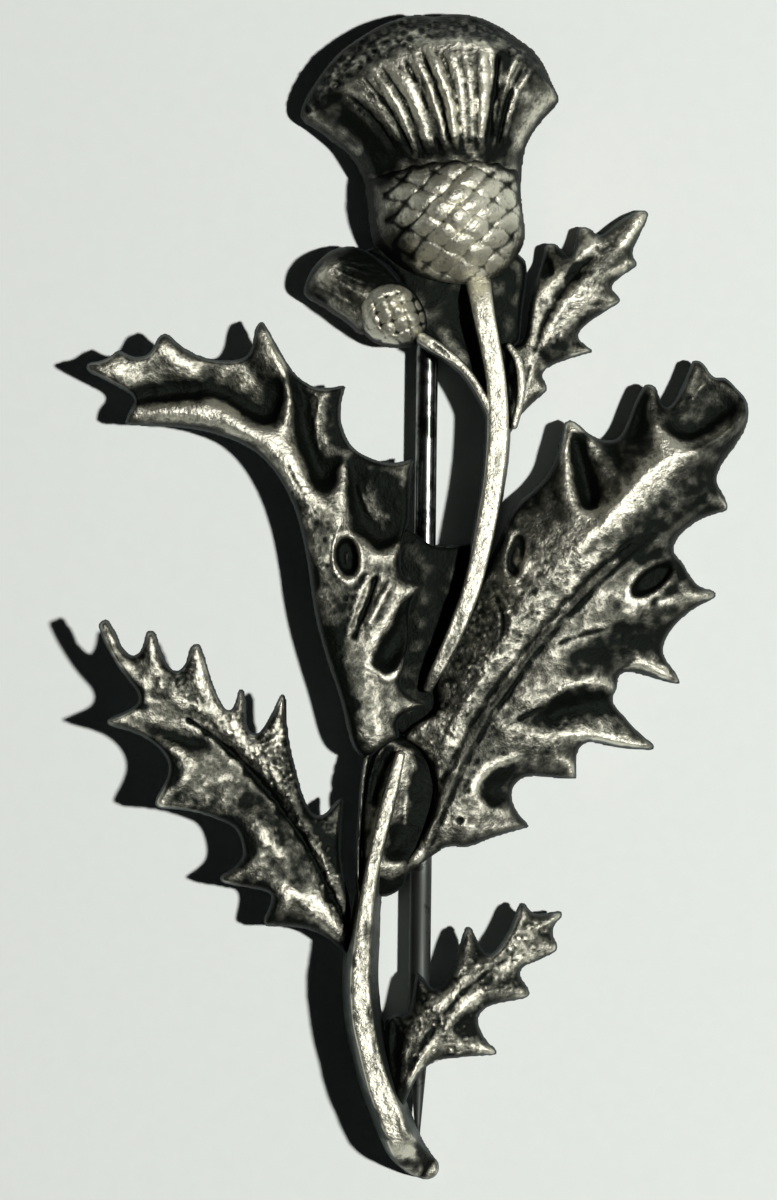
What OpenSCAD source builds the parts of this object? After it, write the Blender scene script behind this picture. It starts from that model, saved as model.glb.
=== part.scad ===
// Thistle spray brooch, lying face up.
// +Z points up out of the brooch's face and +Y along it towards the flower head.
// The origin is the middle of the brooch's outline, on the surface that it lies on.

/* [Casting] */
// Thickness of a leaf along its midrib
rib_t = 1.3; // [1.0:0.1:1.6]
// Thickness of a leaf at its rim and teeth
rim_t = 0.6; // [0.5:0.05:0.8]
// Radius of a leaf's midrib on its face
rib_r = 0.35; // [0.2:0.05:0.5]
// Radius of a tooth's point on its face
tooth_r = 0.15; // [0.1:0.05:0.25]
// How far a side wall slopes out from the face down to the back
draft = 0.15; // [0.05:0.05:0.3]
// How far a stem's side walls slope out down to its back
stem_draft = 0.45; // [0.2:0.05:0.7]
// Height of the flower head's face at its neck
head_top = 6.8; // [6.2:0.2:7.6]
// Height of the bud's face at the middle of its cup
bud_top = 5.4; // [4.8:0.2:6.0]

/* [Pin] */
// Diameter of the pin wire
pin_d = 1.3; // [1.1:0.1:1.4]
// Height of the pin wire's axis above the surface
pin_z = 1.15; // [1.15:0.05:1.25]
// Length from the hinge rivet to the pin's point
pin_len = 55; // [53:0.5:55]
// Length of the drawn point
point_len = 6.5; // [4:0.5:8]
// Angle between the pin and the brooch's own length, in degrees
pin_lean = 0.72; // [0.6:0.02:0.8]

/* [Hinge] */
// Outside diameter of the pin's flat eye
eye_d = 2.1; // [2.0:0.05:2.15]
// Thickness of the flat eye along the rivet
eye_w = 1.1; // [1.0:0.1:1.2]
// Diameter of the rivet
rivet_d = 0.9; // [0.8:0.05:1.0]
// Clearance of the eye around the rivet, on the radius
eye_play = 0.05; // [0.03:0.01:0.08]
// Clearance between the eye and each ear
side_play = 0.1; // [0.05:0.05:0.15]
// Thickness of each ear
ear_t = 0.9; // [0.7:0.1:1.1]
// Thickness of the hinge plate and of the catch strip
strip_t = 0.45; // [0.4:0.05:0.45]

/* [Catch] */
// Distance of the catch from the hinge rivet
catch_at = 48.9; // [47.5:0.1:50]
// Width of the catch along the pin
catch_w = 2.2; // [1.8:0.1:2.6]

/* [Hidden] */
pewter = "dimgray";
steel = "silver";
// The sides of a leaf's small posts, of a stem's round ridge and of an exact round
post_n = 6;
ridge_n = 12;
round_n = 64;
// Thin solder line between a fitting and the casting
solder = 0.05;
// The hinge rivet's middle
hinge_x = 0.62;
hinge_y = 22.2;
// Underside of the flower head where the hinge plate is soldered
head_back = 2.9;
// Underside of the pad on the small lower leaf where the catch is soldered
catch_back = 3.0;
// Clearance of the catch around the wire, on the radius
catch_play = 0.05;
// How far the casting is cut flat past each end of a soldered fitting
seat_past = 0.1;
// Half length of the hinge plate along the pin
plate_half = 1.5;
// Half length of an ear along the pin, and the cut at its lower corners
ear_half = 1.15;
ear_cut = 0.4;
// How far from the rivet the wire is flattened to the eye's thickness
flat_reach = 1.5;
// Diameter of the drawn point's end
point_d = 0.2;
// Length of the rivet's heads past the ears, and how much wider they are
rivet_head = 0.3;
rivet_head_extra = 0.5;
// Clearance of the rivet in the ears, on the radius
rivet_play = 0.02;

// Columns of a rib: x, y and height of the face.
// Columns of an edge: number of the rib point that it hangs from, x, y, height of the face.
// Each edge goes once round its leaf, a row for each tooth, bay or bend.
leaf_upper_left_rib = [
    [-2.8, -9.9, 3.6], [-3.4, -5.7, 3.6], [-4.4, -1.5, 3.7], [-5.6, 2.1, 4.0], [-6.4, 5.3, 4.2], [-7.5, 8.1, 4.3],
    [-8.8, 10.2, 4.4], [-10.7, 11.2, 4.4], [-12.8, 11.5, 4.4], [-15.5, 11.2, 4.2], [-17.4, 10.5, 3.9]
];
leaf_upper_left_edge = [
    [0, -4.2, -9.0, 2.8], [1, -4.7, -6.3, 3.0], [2, -5.9, -3.3, 3.1], [2, -6.5, -0.3, 3.2], [3, -6.9, 2.7, 3.3],
    [4, -7.8, 5.7, 3.3], [5, -9.4, 8.0, 3.4], [6, -11.6, 9.5, 3.5], [8, -14.6, 10.1, 3.6], [10, -17.8, 10.2, 3.7],
    [10, -17.0, 11.9, 3.7], [10, -19.9, 13.7, 4.0], [10, -18.1, 14.6, 3.9], [9, -16.1, 14.3, 4.0],
    [9, -15.1, 15.8, 3.8], [8, -13.6, 14.6, 3.9], [8, -11.9, 14.1, 3.8], [7, -10.1, 14.1, 3.4],
    [7, -9.4, 16.5, 3.3], [6, -7.7, 13.6, 3.2], [6, -6.0, 12.3, 3.2], [5, -4.3, 12.5, 3.2], [5, -4.7, 10.8, 3.0],
    [4, -4.1, 8.9, 2.9], [4, -2.2, 7.9, 2.9], [4, -0.2, 8.1, 2.9], [3, -0.5, 5.7, 2.8], [3, -1.1, 3.0, 2.8],
    [2, -1.1, 0.9, 2.8], [2, 0.4, 0.6, 2.8], [2, -0.8, -0.9, 2.8], [1, -0.4, -3.2, 2.8], [1, -1.1, -5.7, 2.9],
    [1, 0.7, -6.6, 2.8], [0, -1.2, -7.6, 3.0], [0, -1.3, -8.8, 3.2]
];
leaf_right_rib = [
    [-0.9, -16.0, 3.7], [1.3, -13.0, 3.7], [3.1, -9.0, 3.8], [5.2, -5.1, 4.0], [7.6, -2.1, 4.2], [10.3, 1.5, 4.4],
    [13.0, 4.8, 4.3], [15.7, 7.8, 3.9], [18.2, 9.9, 3.3]
];
leaf_right_edge = [
    [0, -1.3, -17.2, 3.0], [0, 0.9, -15.6, 2.9], [1, 3.1, -15.2, 2.4], [1, 6.8, -14.0, 1.6], [1, 5.6, -12.1, 1.8],
    [2, 6.5, -11.1, 1.8], [2, 9.6, -11.1, 1.3], [2, 9.6, -9.2, 1.5], [3, 10.4, -8.9, 1.5], [3, 14.2, -9.2, 0.8],
    [3, 11.8, -6.3, 1.5], [4, 12.2, -4.7, 1.5], [4, 15.9, -5.5, 0.6], [4, 14.6, -3.4, 1.3], [5, 15.8, -1.4, 1.3],
    [5, 17.9, 0.0, 0.8], [5, 16.3, 0.9, 1.3], [6, 15.4, 2.7, 1.6], [6, 18.7, 5.2, 1.2], [7, 17.9, 6.9, 1.8],
    [8, 19.1, 8.9, 2.2], [8, 19.9, 11.4, 2.4], [8, 18.4, 13.1, 2.4], [8, 17.7, 13.0, 2.3], [7, 16.8, 14.2, 2.1],
    [7, 15.2, 11.4, 2.5], [6, 13.9, 12.7, 2.2], [6, 11.4, 9.3, 2.5], [5, 9.0, 10.4, 2.1], [5, 7.9, 7.0, 2.4],
    [4, 5.6, 5.4, 2.8], [4, 3.7, 3.3, 2.9], [3, 1.3, -0.3, 2.9], [3, 0.1, -3.3, 2.9], [2, 0.4, -6.9, 2.9],
    [1, -1.0, -8.4, 3.0], [1, -0.6, -12.0, 3.2], [0, -2.0, -15.6, 3.4]
];
leaf_lower_left_rib = [
    [-4.0, -20.4, 3.8], [-5.6, -17.0, 4.0], [-7.3, -14.0, 4.3], [-9.4, -11.2, 4.6], [-11.6, -9.0, 5.0],
    [-14.2, -7.0, 5.4], [-16.4, -5.1, 5.7]
];
leaf_lower_left_edge = [
    [0, -4.2, -21.8, 2.6], [0, -6.5, -20.5, 2.8], [1, -9.2, -19.6, 3.6], [1, -8.8, -18.2, 3.5], [2, -11.8, -17.1, 4.4],
    [2, -10.3, -14.8, 3.9], [3, -11.3, -13.8, 4.2], [3, -15.7, -12.7, 5.2], [4, -14.8, -10.8, 4.8],
    [4, -15.5, -9.1, 4.9], [5, -18.6, -7.7, 5.7], [6, -16.7, -6.1, 5.2], [6, -18.1, -4.2, 5.6], [6, -18.8, -1.8, 6.0],
    [6, -17.1, -3.7, 5.7], [6, -16.1, -2.4, 5.9], [5, -14.3, -4.9, 5.3], [5, -13.3, -3.0, 5.6], [4, -11.5, -7.0, 4.8],
    [4, -10.6, -5.8, 5.0], [3, -10.0, -8.4, 4.6], [3, -8.2, -6.1, 4.7], [2, -7.9, -9.0, 4.4], [2, -6.8, -12.7, 4.0],
    [1, -6.0, -13.4, 3.6], [1, -4.7, -12.3, 3.4], [0, -4.0, -16.5, 3.2]
];
leaf_upper_right_rib = [
    [5.8, 10.2, 2.6], [6.3, 13.2, 2.6], [7.6, 16.2, 2.6], [9.0, 18.3, 2.5], [10.6, 20.3, 2.3], [12.4, 21.9, 1.9]
];
leaf_upper_right_edge = [
    [0, 5.4, 9.3, 2.2], [0, 6.6, 11.2, 1.9], [1, 7.9, 12.4, 1.2], [1, 7.4, 13.4, 1.6], [2, 10.5, 14.6, 1.1],
    [2, 9.6, 15.5, 1.5], [3, 12.2, 17.6, 1.0], [3, 11.6, 18.4, 1.4], [4, 13.2, 19.7, 1.0], [4, 12.7, 20.6, 1.3],
    [5, 13.8, 22.8, 1.3], [5, 13.1, 23.0, 1.3], [4, 11.0, 21.6, 1.5], [4, 10.1, 22.0, 1.2], [3, 9.3, 20.2, 1.6],
    [3, 8.3, 21.0, 1.2], [2, 7.8, 18.6, 1.8], [1, 6.7, 17.1, 2.0], [1, 6.5, 15.1, 2.2], [0, 5.4, 14.7, 2.3]
];
leaf_lower_right_rib = [
    [-1.5, -30.8, 4.7], [-0.4, -28.2, 4.6], [1.0, -26.0, 4.4], [2.8, -23.9, 4.1], [4.4, -22.2, 3.7], [6.4, -20.7, 3.3]
];
leaf_lower_right_edge = [
    [0, -0.8, -31.0, 4.0], [0, 0.1, -28.8, 4.0], [1, 1.3, -27.9, 3.9], [1, 3.1, -27.4, 3.2], [2, 4.7, -27.5, 2.7],
    [2, 3.7, -25.7, 3.2], [3, 4.6, -24.6, 3.1], [3, 6.7, -24.0, 2.6], [4, 6.2, -22.6, 2.9], [4, 8.4, -21.2, 2.6],
    [5, 8.0, -20.2, 2.7], [5, 8.6, -19.3, 2.5], [5, 7.3, -19.5, 2.8], [5, 6.2, -18.6, 2.7], [4, 4.1, -21.6, 3.3],
    [4, 3.0, -19.9, 3.0], [3, 1.2, -23.7, 3.7], [2, 0.0, -22.6, 3.2], [2, -0.5, -24.9, 3.9], [1, -2.0, -25.4, 3.7],
    [0, -1.8, -27.9, 4.3]
];

// Columns of a stem: x, y, height of its ridge, half width of its ridge, height of its back
main_stem = [
    [3.6, 18.6, 4.2, 0.50, 2.2], [4.3, 15.3, 4.1, 0.60, 1.8], [4.8, 12.3, 4.0, 0.65, 1.4], [4.7, 8.7, 3.9, 0.70, 1.4],
    [4.2, 4.5, 4.1, 0.65, 1.8], [3.3, 0.9, 4.2, 0.60, 2.2], [2.1, -2.7, 4.1, 0.50, 2.2], [0.7, -5.4, 3.6, 0.35, 2.2]
];
bud_stem = [
    [0.5, 15.2, 3.8, 0.35, 2.3], [1.9, 14.5, 3.8, 0.40, 2.3], [3.1, 13.4, 3.8, 0.40, 2.0], [3.9, 12.1, 3.9, 0.40, 1.8],
    [4.5, 11.0, 3.9, 0.40, 1.8]
];
lower_stem = [
    [-1.2, -9.6, 4.0, 0.35, 2.6], [-1.9, -12.3, 4.4, 0.45, 2.4], [-2.5, -15.3, 4.6, 0.55, 2.0],
    [-3.1, -18.3, 4.8, 0.60, 1.4], [-3.4, -21.3, 5.0, 0.65, 1.2], [-3.3, -24.9, 5.1, 0.70, 1.2],
    [-2.7, -28.2, 5.1, 0.75, 1.2], [-1.8, -30.9, 5.0, 0.75, 1.6], [-1.0, -32.8, 4.6, 0.75, 2.0],
    [-0.1, -33.9, 3.8, 0.70, 2.0]
];
leaf_stalk = [
    [-3.1, -8.0, 3.7, 0.40, 2.0], [-3.4, -11.5, 3.8, 0.35, 1.8], [-3.5, -15.5, 4.0, 0.35, 1.6],
    [-3.4, -18.5, 4.3, 0.40, 1.4]
];
// A plate's corners: x, y, height of its face
upper_web = [
    [-1.2, 18.3, 3.0], [0.7, 15.0, 3.0], [4.3, 11.4, 3.0], [6.4, 15.1, 3.0], [7.3, 19.8, 2.6], [6.2, 20.7, 3.0],
    [-1.0, 19.5, 3.0]
];
lower_web = [
    [-1.0, 3.0, 2.8], [0.4, 4.0, 2.8], [1.3, 3.2, 2.8], [3.7, 3.9, 2.8], [3.1, -0.3, 2.8], [0.6, -5.7, 2.8],
    [-1.0, -5.7, 2.8]
];
sheath = [
    [-2.4, -9.4, 3.4], [-0.8, -8.6, 3.4], [0.8, -11.4, 3.4], [0.4, -14.1, 3.4], [-1.2, -17.8, 3.0],
    [-3.2, -15.5, 3.4]
];

// Columns of a flower's section: distance along its axis, left reach, right reach, share of the full height of
// its face, height of its back. The last section is at the open end.
head_sections = [
    [0.0, -2.5, 0.6, 0.62, 2.9], [1.0, -4.1, 1.5, 0.80, 2.9], [2.4, -5.4, 2.5, 0.92, 2.9], [4.2, -6.4, 2.9, 0.97, 2.9],
    [6.0, -6.8, 2.8, 1.00, 2.9], [7.6, -7.5, 2.8, 0.96, 2.5], [9.1, -9.1, 3.5, 0.92, 2.0], [10.3, -11.1, 4.2, 0.90, 1.6],
    [11.8, -10.6, 4.7, 0.85, 1.4], [13.5, -9.1, 3.9, 0.74, 1.2], [15.0, -7.5, 2.3, 0.62, 1.2], [16.2, -4.9, 0.0, 0.44, 1.4]
];
head_at = [3.6, 18.7];
head_turn = 0;
bud_sections = [
    [-0.8, -0.4, 0.4, 0.60, 2.3], [0.0, -0.8, 0.7, 0.66, 2.3], [0.9, -1.6, 1.7, 0.85, 2.3], [2.0, -2.0, 2.2, 1.00, 2.3],
    [3.3, -1.9, 2.4, 0.92, 2.0], [4.8, -1.9, 2.6, 0.80, 1.6], [6.3, -2.1, 2.4, 0.64, 1.3], [7.4, -1.6, 1.8, 0.45, 1.3]
];
bud_at = [-0.2, 15.6];
bud_turn = 53.6;

ear_x = eye_w / 2 + side_play;
hinge_half = ear_x + ear_t;

// One upright post of a leaf: its face at p, tapering out towards the back
module post(p, r, t) {
    translate([p[0], p[1], p[2] - t]) cylinder(h = t, r1 = r + draft, r2 = r, $fn = post_n);
}

// A leaf: one wedge between each pair of neighbouring edge rows and their rib points
module leaf(rib, edge) {
    count = len(edge);
    for (i = [0:count - 1]) {
        a = edge[i];
        b = edge[(i + 1) % count];
        hull() {
            post(rib[a[0]], rib_r, rib_t);
            post(rib[b[0]], rib_r, rib_t);
            post([a[1], a[2], a[3]], tooth_r, rim_t);
            post([b[1], b[2], b[3]], tooth_r, rim_t);
        }
    }
}

// One upright slice of a stem: a round ridge on a wider back
module stem_slice(row) {
    translate([row[0], row[1], row[2] - row[3]]) sphere(r = row[3], $fn = ridge_n);
    translate([row[0], row[1], row[4]])
        cylinder(h = row[2] - row[3] - row[4], r1 = row[3] + stem_draft, r2 = row[3], $fn = ridge_n);
}

module stem(rows) {
    for (i = [0:len(rows) - 2]) hull() { stem_slice(rows[i]); stem_slice(rows[i + 1]); }
}

// A flat plate with a sloping rim
module plate(corners) {
    hull() for (p = corners) post(p, tooth_r, rim_t);
}

// One section of a flower: a half ellipse standing across the flower's axis
module flower_section(row, top) {
    height = top * row[3] - row[4];
    middle = (row[1] + row[2]) / 2;
    translate([middle, row[0], row[4]]) rotate([90, 0, 0]) linear_extrude(height = 0.02)
        intersection() {
            scale([(row[2] - row[1]) / 2, height]) circle(r = 1, $fn = 24);
            translate([row[1] - middle, 0]) square([row[2] - row[1], height]);
        }
}

module flower(at, turn, rows, top) {
    translate([at[0], at[1], 0]) rotate([0, 0, turn])
        for (i = [0:len(rows) - 2]) hull() { flower_section(rows[i], top); flower_section(rows[i + 1], top); }
}

// Places its children with the hinge rivet's middle at their origin and the pin along their -Y
module at_hinge() {
    translate([hinge_x, hinge_y, pin_z]) rotate([0, 0, -pin_lean]) children();
}

// Pad under the small lower leaf that the catch is soldered to
module catch_pad() {
    at_hinge() translate([-1.2, -catch_at - catch_w / 2, catch_back - pin_z]) cube([2.4, catch_w, 0.8]);
}

// Everything below a fitting's solder face, so that the casting is flat where the fitting sits
module seat(half_width, middle, half_length, back) {
    at_hinge() translate([-half_width, middle - half_length - seat_past, -pin_z])
        cube([2 * half_width, 2 * (half_length + seat_past), back]);
}

module casting() {
    color(pewter) difference() {
        spray();
        seat(hinge_half + seat_past, 0, plate_half, head_back);
        seat(pin_d, -catch_at, catch_w / 2, catch_back);
    }
}

module spray() {
    union() {
        leaf(leaf_upper_left_rib, leaf_upper_left_edge);
        leaf(leaf_right_rib, leaf_right_edge);
        leaf(leaf_lower_left_rib, leaf_lower_left_edge);
        leaf(leaf_upper_right_rib, leaf_upper_right_edge);
        leaf(leaf_lower_right_rib, leaf_lower_right_edge);
        stem(main_stem);
        stem(bud_stem);
        stem(lower_stem);
        stem(leaf_stalk);
        plate(upper_web);
        plate(lower_web);
        plate(sheath);
        flower(head_at, head_turn, head_sections, head_top);
        flower(bud_at, bud_turn, bud_sections, bud_top);
        catch_pad();
    }
}

// A round bar along the rivet's line
module cross_bar(d, length) {
    rotate([0, 90, 0]) cylinder(h = length, d = d, center = true, $fn = round_n);
}

// An ear of the bracket, standing on its flat foot, with cut lower corners
module ear(top) {
    rotate([90, 0, 90]) linear_extrude(height = ear_t, center = true) polygon([
        [-ear_half, top], [-ear_half, ear_cut - pin_z], [ear_cut - ear_half, -pin_z],
        [ear_half - ear_cut, -pin_z], [ear_half, ear_cut - pin_z], [ear_half, top]
    ]);
}

// The bracket: a plate soldered to the head and an ear on each side of the eye
module hinge() {
    plate_z = head_back - pin_z - solder - strip_t;
    color(steel) at_hinge() difference() {
        union() {
            translate([-hinge_half, -plate_half, plate_z]) cube([2 * hinge_half, 2 * plate_half, strip_t]);
            for (side = [-1, 1]) translate([side * (ear_x + ear_t / 2), 0, 0]) ear(plate_z + strip_t / 2);
        }
        cross_bar(rivet_d + 2 * rivet_play, 3 * hinge_half);
    }
}

module hinge_rivet() {
    color(steel) at_hinge() {
        cross_bar(rivet_d, 2 * hinge_half + 2 * rivet_head);
        for (side = [-1, 1]) translate([side * (hinge_half + rivet_play + rivet_head / 2), 0, 0])
            cross_bar(rivet_d + rivet_head_extra, rivet_head);
    }
}

// The pin: a flat bored eye, the round wire and its drawn point
module pin_stem() {
    color(steel) at_hinge() difference() {
        union() {
            cross_bar(eye_d, eye_w);
            rotate([90, 0, 0]) cylinder(h = pin_len - point_len, d = pin_d, $fn = round_n);
            translate([0, point_len - pin_len, 0]) rotate([90, 0, 0])
                cylinder(h = point_len, d1 = pin_d, d2 = point_d, $fn = round_n);
        }
        cross_bar(rivet_d + 2 * eye_play, 2 * hinge_half);
        for (side = [-1, 1]) translate([side * (eye_w / 2 + eye_d / 2), 0, 0])
            cube([eye_d, 2 * flat_reach, eye_d], center = true);
    }
}

// The catch: a strip that comes down beside the wire and curls under it, open on the other side
module catch() {
    inner_r = pin_d / 2 + catch_play;
    outer_r = inner_r + strip_t;
    top_z = catch_back - pin_z - solder;
    color(steel) at_hinge() translate([0, -catch_at + catch_w / 2, 0]) rotate([90, 0, 0])
        linear_extrude(height = catch_w) union() {
            difference() {
                circle(r = outer_r, $fn = round_n);
                circle(r = inner_r, $fn = round_n);
                translate([-2 * outer_r, 0]) square([2 * outer_r, 2 * outer_r]);
            }
            translate([inner_r, 0]) square([strip_t, top_z]);
            translate([-inner_r, top_z - strip_t]) square([2 * inner_r + strip_t, strip_t]);
        }
}

casting();
hinge();
hinge_rivet();
pin_stem();
catch();
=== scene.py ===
"""The detailed look of a cast thistle spray brooch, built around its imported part.

Sizes are in millimetres. The faces of the casting are charted from above: a chart point has x to the right
and y downwards, in steps of CHART_STEP, and a third number, where there is one, is the height of the face
above the surface that the brooch lies on.
"""

import logging
import math
from dataclasses import dataclass
from dataclasses import field
from enum import Enum

import bpy
import numpy as np
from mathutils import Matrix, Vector


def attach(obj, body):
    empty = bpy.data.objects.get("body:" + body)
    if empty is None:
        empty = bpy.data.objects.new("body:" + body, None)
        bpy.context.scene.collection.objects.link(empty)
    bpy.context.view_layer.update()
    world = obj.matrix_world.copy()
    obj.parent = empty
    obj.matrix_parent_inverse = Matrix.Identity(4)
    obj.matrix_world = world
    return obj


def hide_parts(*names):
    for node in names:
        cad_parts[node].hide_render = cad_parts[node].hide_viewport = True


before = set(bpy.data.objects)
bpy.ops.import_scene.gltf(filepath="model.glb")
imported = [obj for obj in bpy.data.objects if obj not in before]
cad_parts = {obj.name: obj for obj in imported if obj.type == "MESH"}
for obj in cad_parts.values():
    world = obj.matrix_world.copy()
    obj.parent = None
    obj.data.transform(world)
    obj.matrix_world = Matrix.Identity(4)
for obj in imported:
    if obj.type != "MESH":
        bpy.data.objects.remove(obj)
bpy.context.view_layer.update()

LOG = logging.getLogger("brooch")
MM = 0.001
CHART_STEP = 0.06
CHART_LEFT = -25.11
CHART_TOP = 35.7
EYE_HEIGHT = 450.0
AIM_X = -1.8
AIM_Y = -0.3
USUAL_HEIGHT = 3.6
BLUR_PASSES = 3
LINE_PIECES = 4
STEM_PIECES = 6
CORNER_POINTS = 6
BEND_DEGREES = 50.0
SAME_PLACE = 1e-4

Array = np.ndarray
Piece = bpy.types.Object
Socket = bpy.types.NodeSocket
Chart = tuple[tuple[float, ...], ...]
Charts = tuple[Chart, ...]
Trail = tuple[float, ...]
Pair = tuple[float, float]
Triple = tuple[float, float, float]


def charted(points: Chart) -> Array:
    """Turns chart points into millimetres, as seen from the eye that the chart was drawn for.

    Args:
        points: Rows of x and y on the chart, and of the height where it is known.

    Returns:
        The same rows with x and y in millimetres in the brooch's own frame.
    """
    rows = np.array(points, float)
    height = rows[:, 2] if rows.shape[1] > 2 else USUAL_HEIGHT
    nearer = 1.0 - height / EYE_HEIGHT
    rows[:, 0] = AIM_X + (CHART_LEFT + CHART_STEP * rows[:, 0] - AIM_X) * nearer
    rows[:, 1] = AIM_Y + (CHART_TOP - CHART_STEP * rows[:, 1] - AIM_Y) * nearer
    return rows


def trailed(points: Trail) -> Array:
    """Turns a run of x and y on the chart into rows in millimetres."""
    return charted(np.reshape(points, (-1, 2)))


def eased(value: Array, low: float, high: float) -> Array:
    """Rises smoothly from 0 at low to 1 at high.

    Args:
        value: The numbers to ease.
        low: Where the rise starts.
        high: Where it ends.

    Returns:
        The eased share of each number.
    """
    share = np.clip((value - low) / (high - low), 0.0, 1.0)
    return share * share * (3.0 - 2.0 * share)


def blended_max(a: Array, b: Array, reach: float) -> Array:
    """The larger of two fields, with the crease between them rounded.

    Args:
        a: One field.
        b: The other field.
        reach: How near the two have to be for the rounding to start.

    Returns:
        The rounded maximum.
    """
    near = np.maximum(reach - np.abs(a - b), 0.0)
    return np.maximum(a, b) + near * near / (4.0 * reach)


def box_pass(values: Array, half: int, axis: int) -> Array:
    """Averages each cell with its neighbours along one axis.

    Args:
        values: A grid of heights.
        half: How many neighbours on each side count.
        axis: The axis to average along.

    Returns:
        The averaged grid, of the same shape.
    """
    pad = [(0, 0)] * values.ndim
    pad[axis] = (half + 1, half)
    total = np.cumsum(np.pad(values, pad, mode="edge"), axis=axis)
    span = 2 * half + 1
    count = values.shape[axis]
    upper = np.take(total, np.arange(span, span + count), axis=axis)
    lower = np.take(total, np.arange(0, count), axis=axis)
    return (upper - lower) / span


def blurred(values: Array, radius: float, step: float) -> Array:
    """Blurs a grid of heights with a soft round brush.

    Args:
        values: A grid of heights.
        radius: The brush's radius in millimetres.
        step: The grid's step in millimetres.

    Returns:
        The blurred grid.
    """
    half = max(1, round(radius / step))
    for axis in (0, 1):
        for _ in range(BLUR_PASSES):
            values = box_pass(values, half, axis)
    return values


def softened_outline(points: Array, tip: float) -> Array:
    """Rounds the corners of a closed outline: a little at its tips, and right round in its bays and bends.

    A corner that turns outwards by less than BEND_DEGREES is a bend, not a tip.

    Args:
        points: Rows of x, y and height, once round.
        tip: How far back from a tip its rounding starts.

    Returns:
        A longer list of rows along the rounded outline.
    """
    x, y = points[:, 0], points[:, 1]
    turning = 1.0 if np.sum(x * np.roll(y, -1) - np.roll(x, -1) * y) > 0 else -1.0
    made = []
    count = len(points)
    for i in range(count):
        before, here, after = points[i - 1], points[i], points[(i + 1) % count]
        into, away = here - before, after - here
        length_in, length_out = np.hypot(*into[:2]), np.hypot(*away[:2])
        cross = into[0] * away[1] - into[1] * away[0]
        turn = turning * math.degrees(math.atan2(cross, into[0] * away[0] + into[1] * away[1]))
        cut_in, cut_out = 0.5 * length_in, 0.5 * length_out
        if turn > BEND_DEGREES:
            cut_in, cut_out = min(tip, cut_in), min(tip, cut_out)
        start = here - into * (cut_in / length_in)
        end = here + away * (cut_out / length_out)
        for t in np.linspace(0.0, 1.0, CORNER_POINTS):
            made.append((1 - t) ** 2 * start + 2 * t * (1 - t) * here + t * t * end)
    made = np.array(made)
    step = np.hypot(*(made[:, :2] - np.roll(made[:, :2], 1, axis=0)).T)
    return made[step > SAME_PLACE]


def softened_line(points: Array, pieces: int = LINE_PIECES) -> Array:
    """Runs a smooth curve through the rows of a table.

    Args:
        points: Rows of any number of columns.
        pieces: How many steps to make between two rows.

    Returns:
        The denser rows.
    """
    if len(points) < 3:
        return points
    padded = np.vstack([2 * points[0] - points[1], points, 2 * points[-1] - points[-2]])
    made = []
    for i in range(1, len(padded) - 2):
        a, b, c, d = padded[i - 1], padded[i], padded[i + 1], padded[i + 2]
        for t in np.arange(pieces) / pieces:
            pull = 2 * b + (c - a) * t + (2 * a - 5 * b + 4 * c - d) * t**2 + (3 * b - a - 3 * c + d) * t**3
            made.append(0.5 * pull)
    made.append(points[-1])
    return np.array(made)


class Plan:
    """An even grid over one piece, seen from above."""

    FAR = 1e9
    NO_LENGTH = 1e-12
    LAST_CELL = 1.001

    def __init__(self, points: Array, step: float, margin: float = 0.5) -> None:
        """Lays the grid.

        Args:
            points: Rows that start with x and y, which the grid has to cover.
            step: The grid's step.
            margin: How far the grid goes past the points.
        """
        self.step = step
        self.low = points[:, :2].min(0) - margin
        high = points[:, :2].max(0) + margin
        self.shape = tuple(int(math.ceil(v / step)) + 1 for v in high - self.low)
        self.x, self.y = np.meshgrid(
            self.low[0] + step * np.arange(self.shape[0]),
            self.low[1] + step * np.arange(self.shape[1]),
            indexing="ij",
        )

    def along(self, path: Array, closed: bool = False) -> tuple[Array, Array]:
        """Measures every cell from a line.

        Args:
            path: Rows that start with x and y.
            closed: Whether the line's end joins its start.

        Returns:
            The distance from the line, and the place along it as a row number with a fraction.
        """
        best = np.full(self.shape, self.FAR)
        place = np.zeros(self.shape)
        for k in range(len(path) if closed else len(path) - 1):
            ax, ay = path[k][:2]
            bx, by = path[(k + 1) % len(path)][:2]
            dx, dy = bx - ax, by - ay
            length = dx * dx + dy * dy
            if length < self.NO_LENGTH:
                continue
            t = np.clip(((self.x - ax) * dx + (self.y - ay) * dy) / length, 0.0, 1.0)
            off = (self.x - ax - t * dx) ** 2 + (self.y - ay - t * dy) ** 2
            nearer = off < best
            best = np.where(nearer, off, best)
            place = np.where(nearer, k + t, place)
        return np.sqrt(best), place

    def inside(self, path: Array) -> Array:
        """Tells which cells lie inside a closed outline.

        Args:
            path: Rows that start with x and y, once round.

        Returns:
            A grid of true and false.
        """
        found = np.zeros(self.shape, bool)
        for (ax, ay), (bx, by) in zip(path[:, :2], np.roll(path[:, :2], -1, axis=0)):
            if ay == by:
                continue
            spans = (ay > self.y) != (by > self.y)
            found ^= spans & (self.x < (bx - ax) * (self.y - ay) / (by - ay) + ax)
        return found

    def edge_distance(self, path: Array) -> Array:
        """The distance of every cell from a closed outline, below zero inside it."""
        distance, _ = self.along(path, closed=True)
        return np.where(self.inside(path), -distance, distance)

    def sample(self, values: Array, x: Array, y: Array) -> Array:
        """Reads a grid between its cells.

        Args:
            values: A grid on this plan.
            x: Places to read, across.
            y: Places to read, along.

        Returns:
            The value at each place.
        """
        u = np.clip((x - self.low[0]) / self.step, 0, self.shape[0] - self.LAST_CELL)
        v = np.clip((y - self.low[1]) / self.step, 0, self.shape[1] - self.LAST_CELL)
        i, j = u.astype(int), v.astype(int)
        u, v = u - i, v - j
        near = values[i, j] * (1 - v) + values[i, j + 1] * v
        far = values[i + 1, j] * (1 - v) + values[i + 1, j + 1] * v
        return near * (1 - u) + far * u


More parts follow.
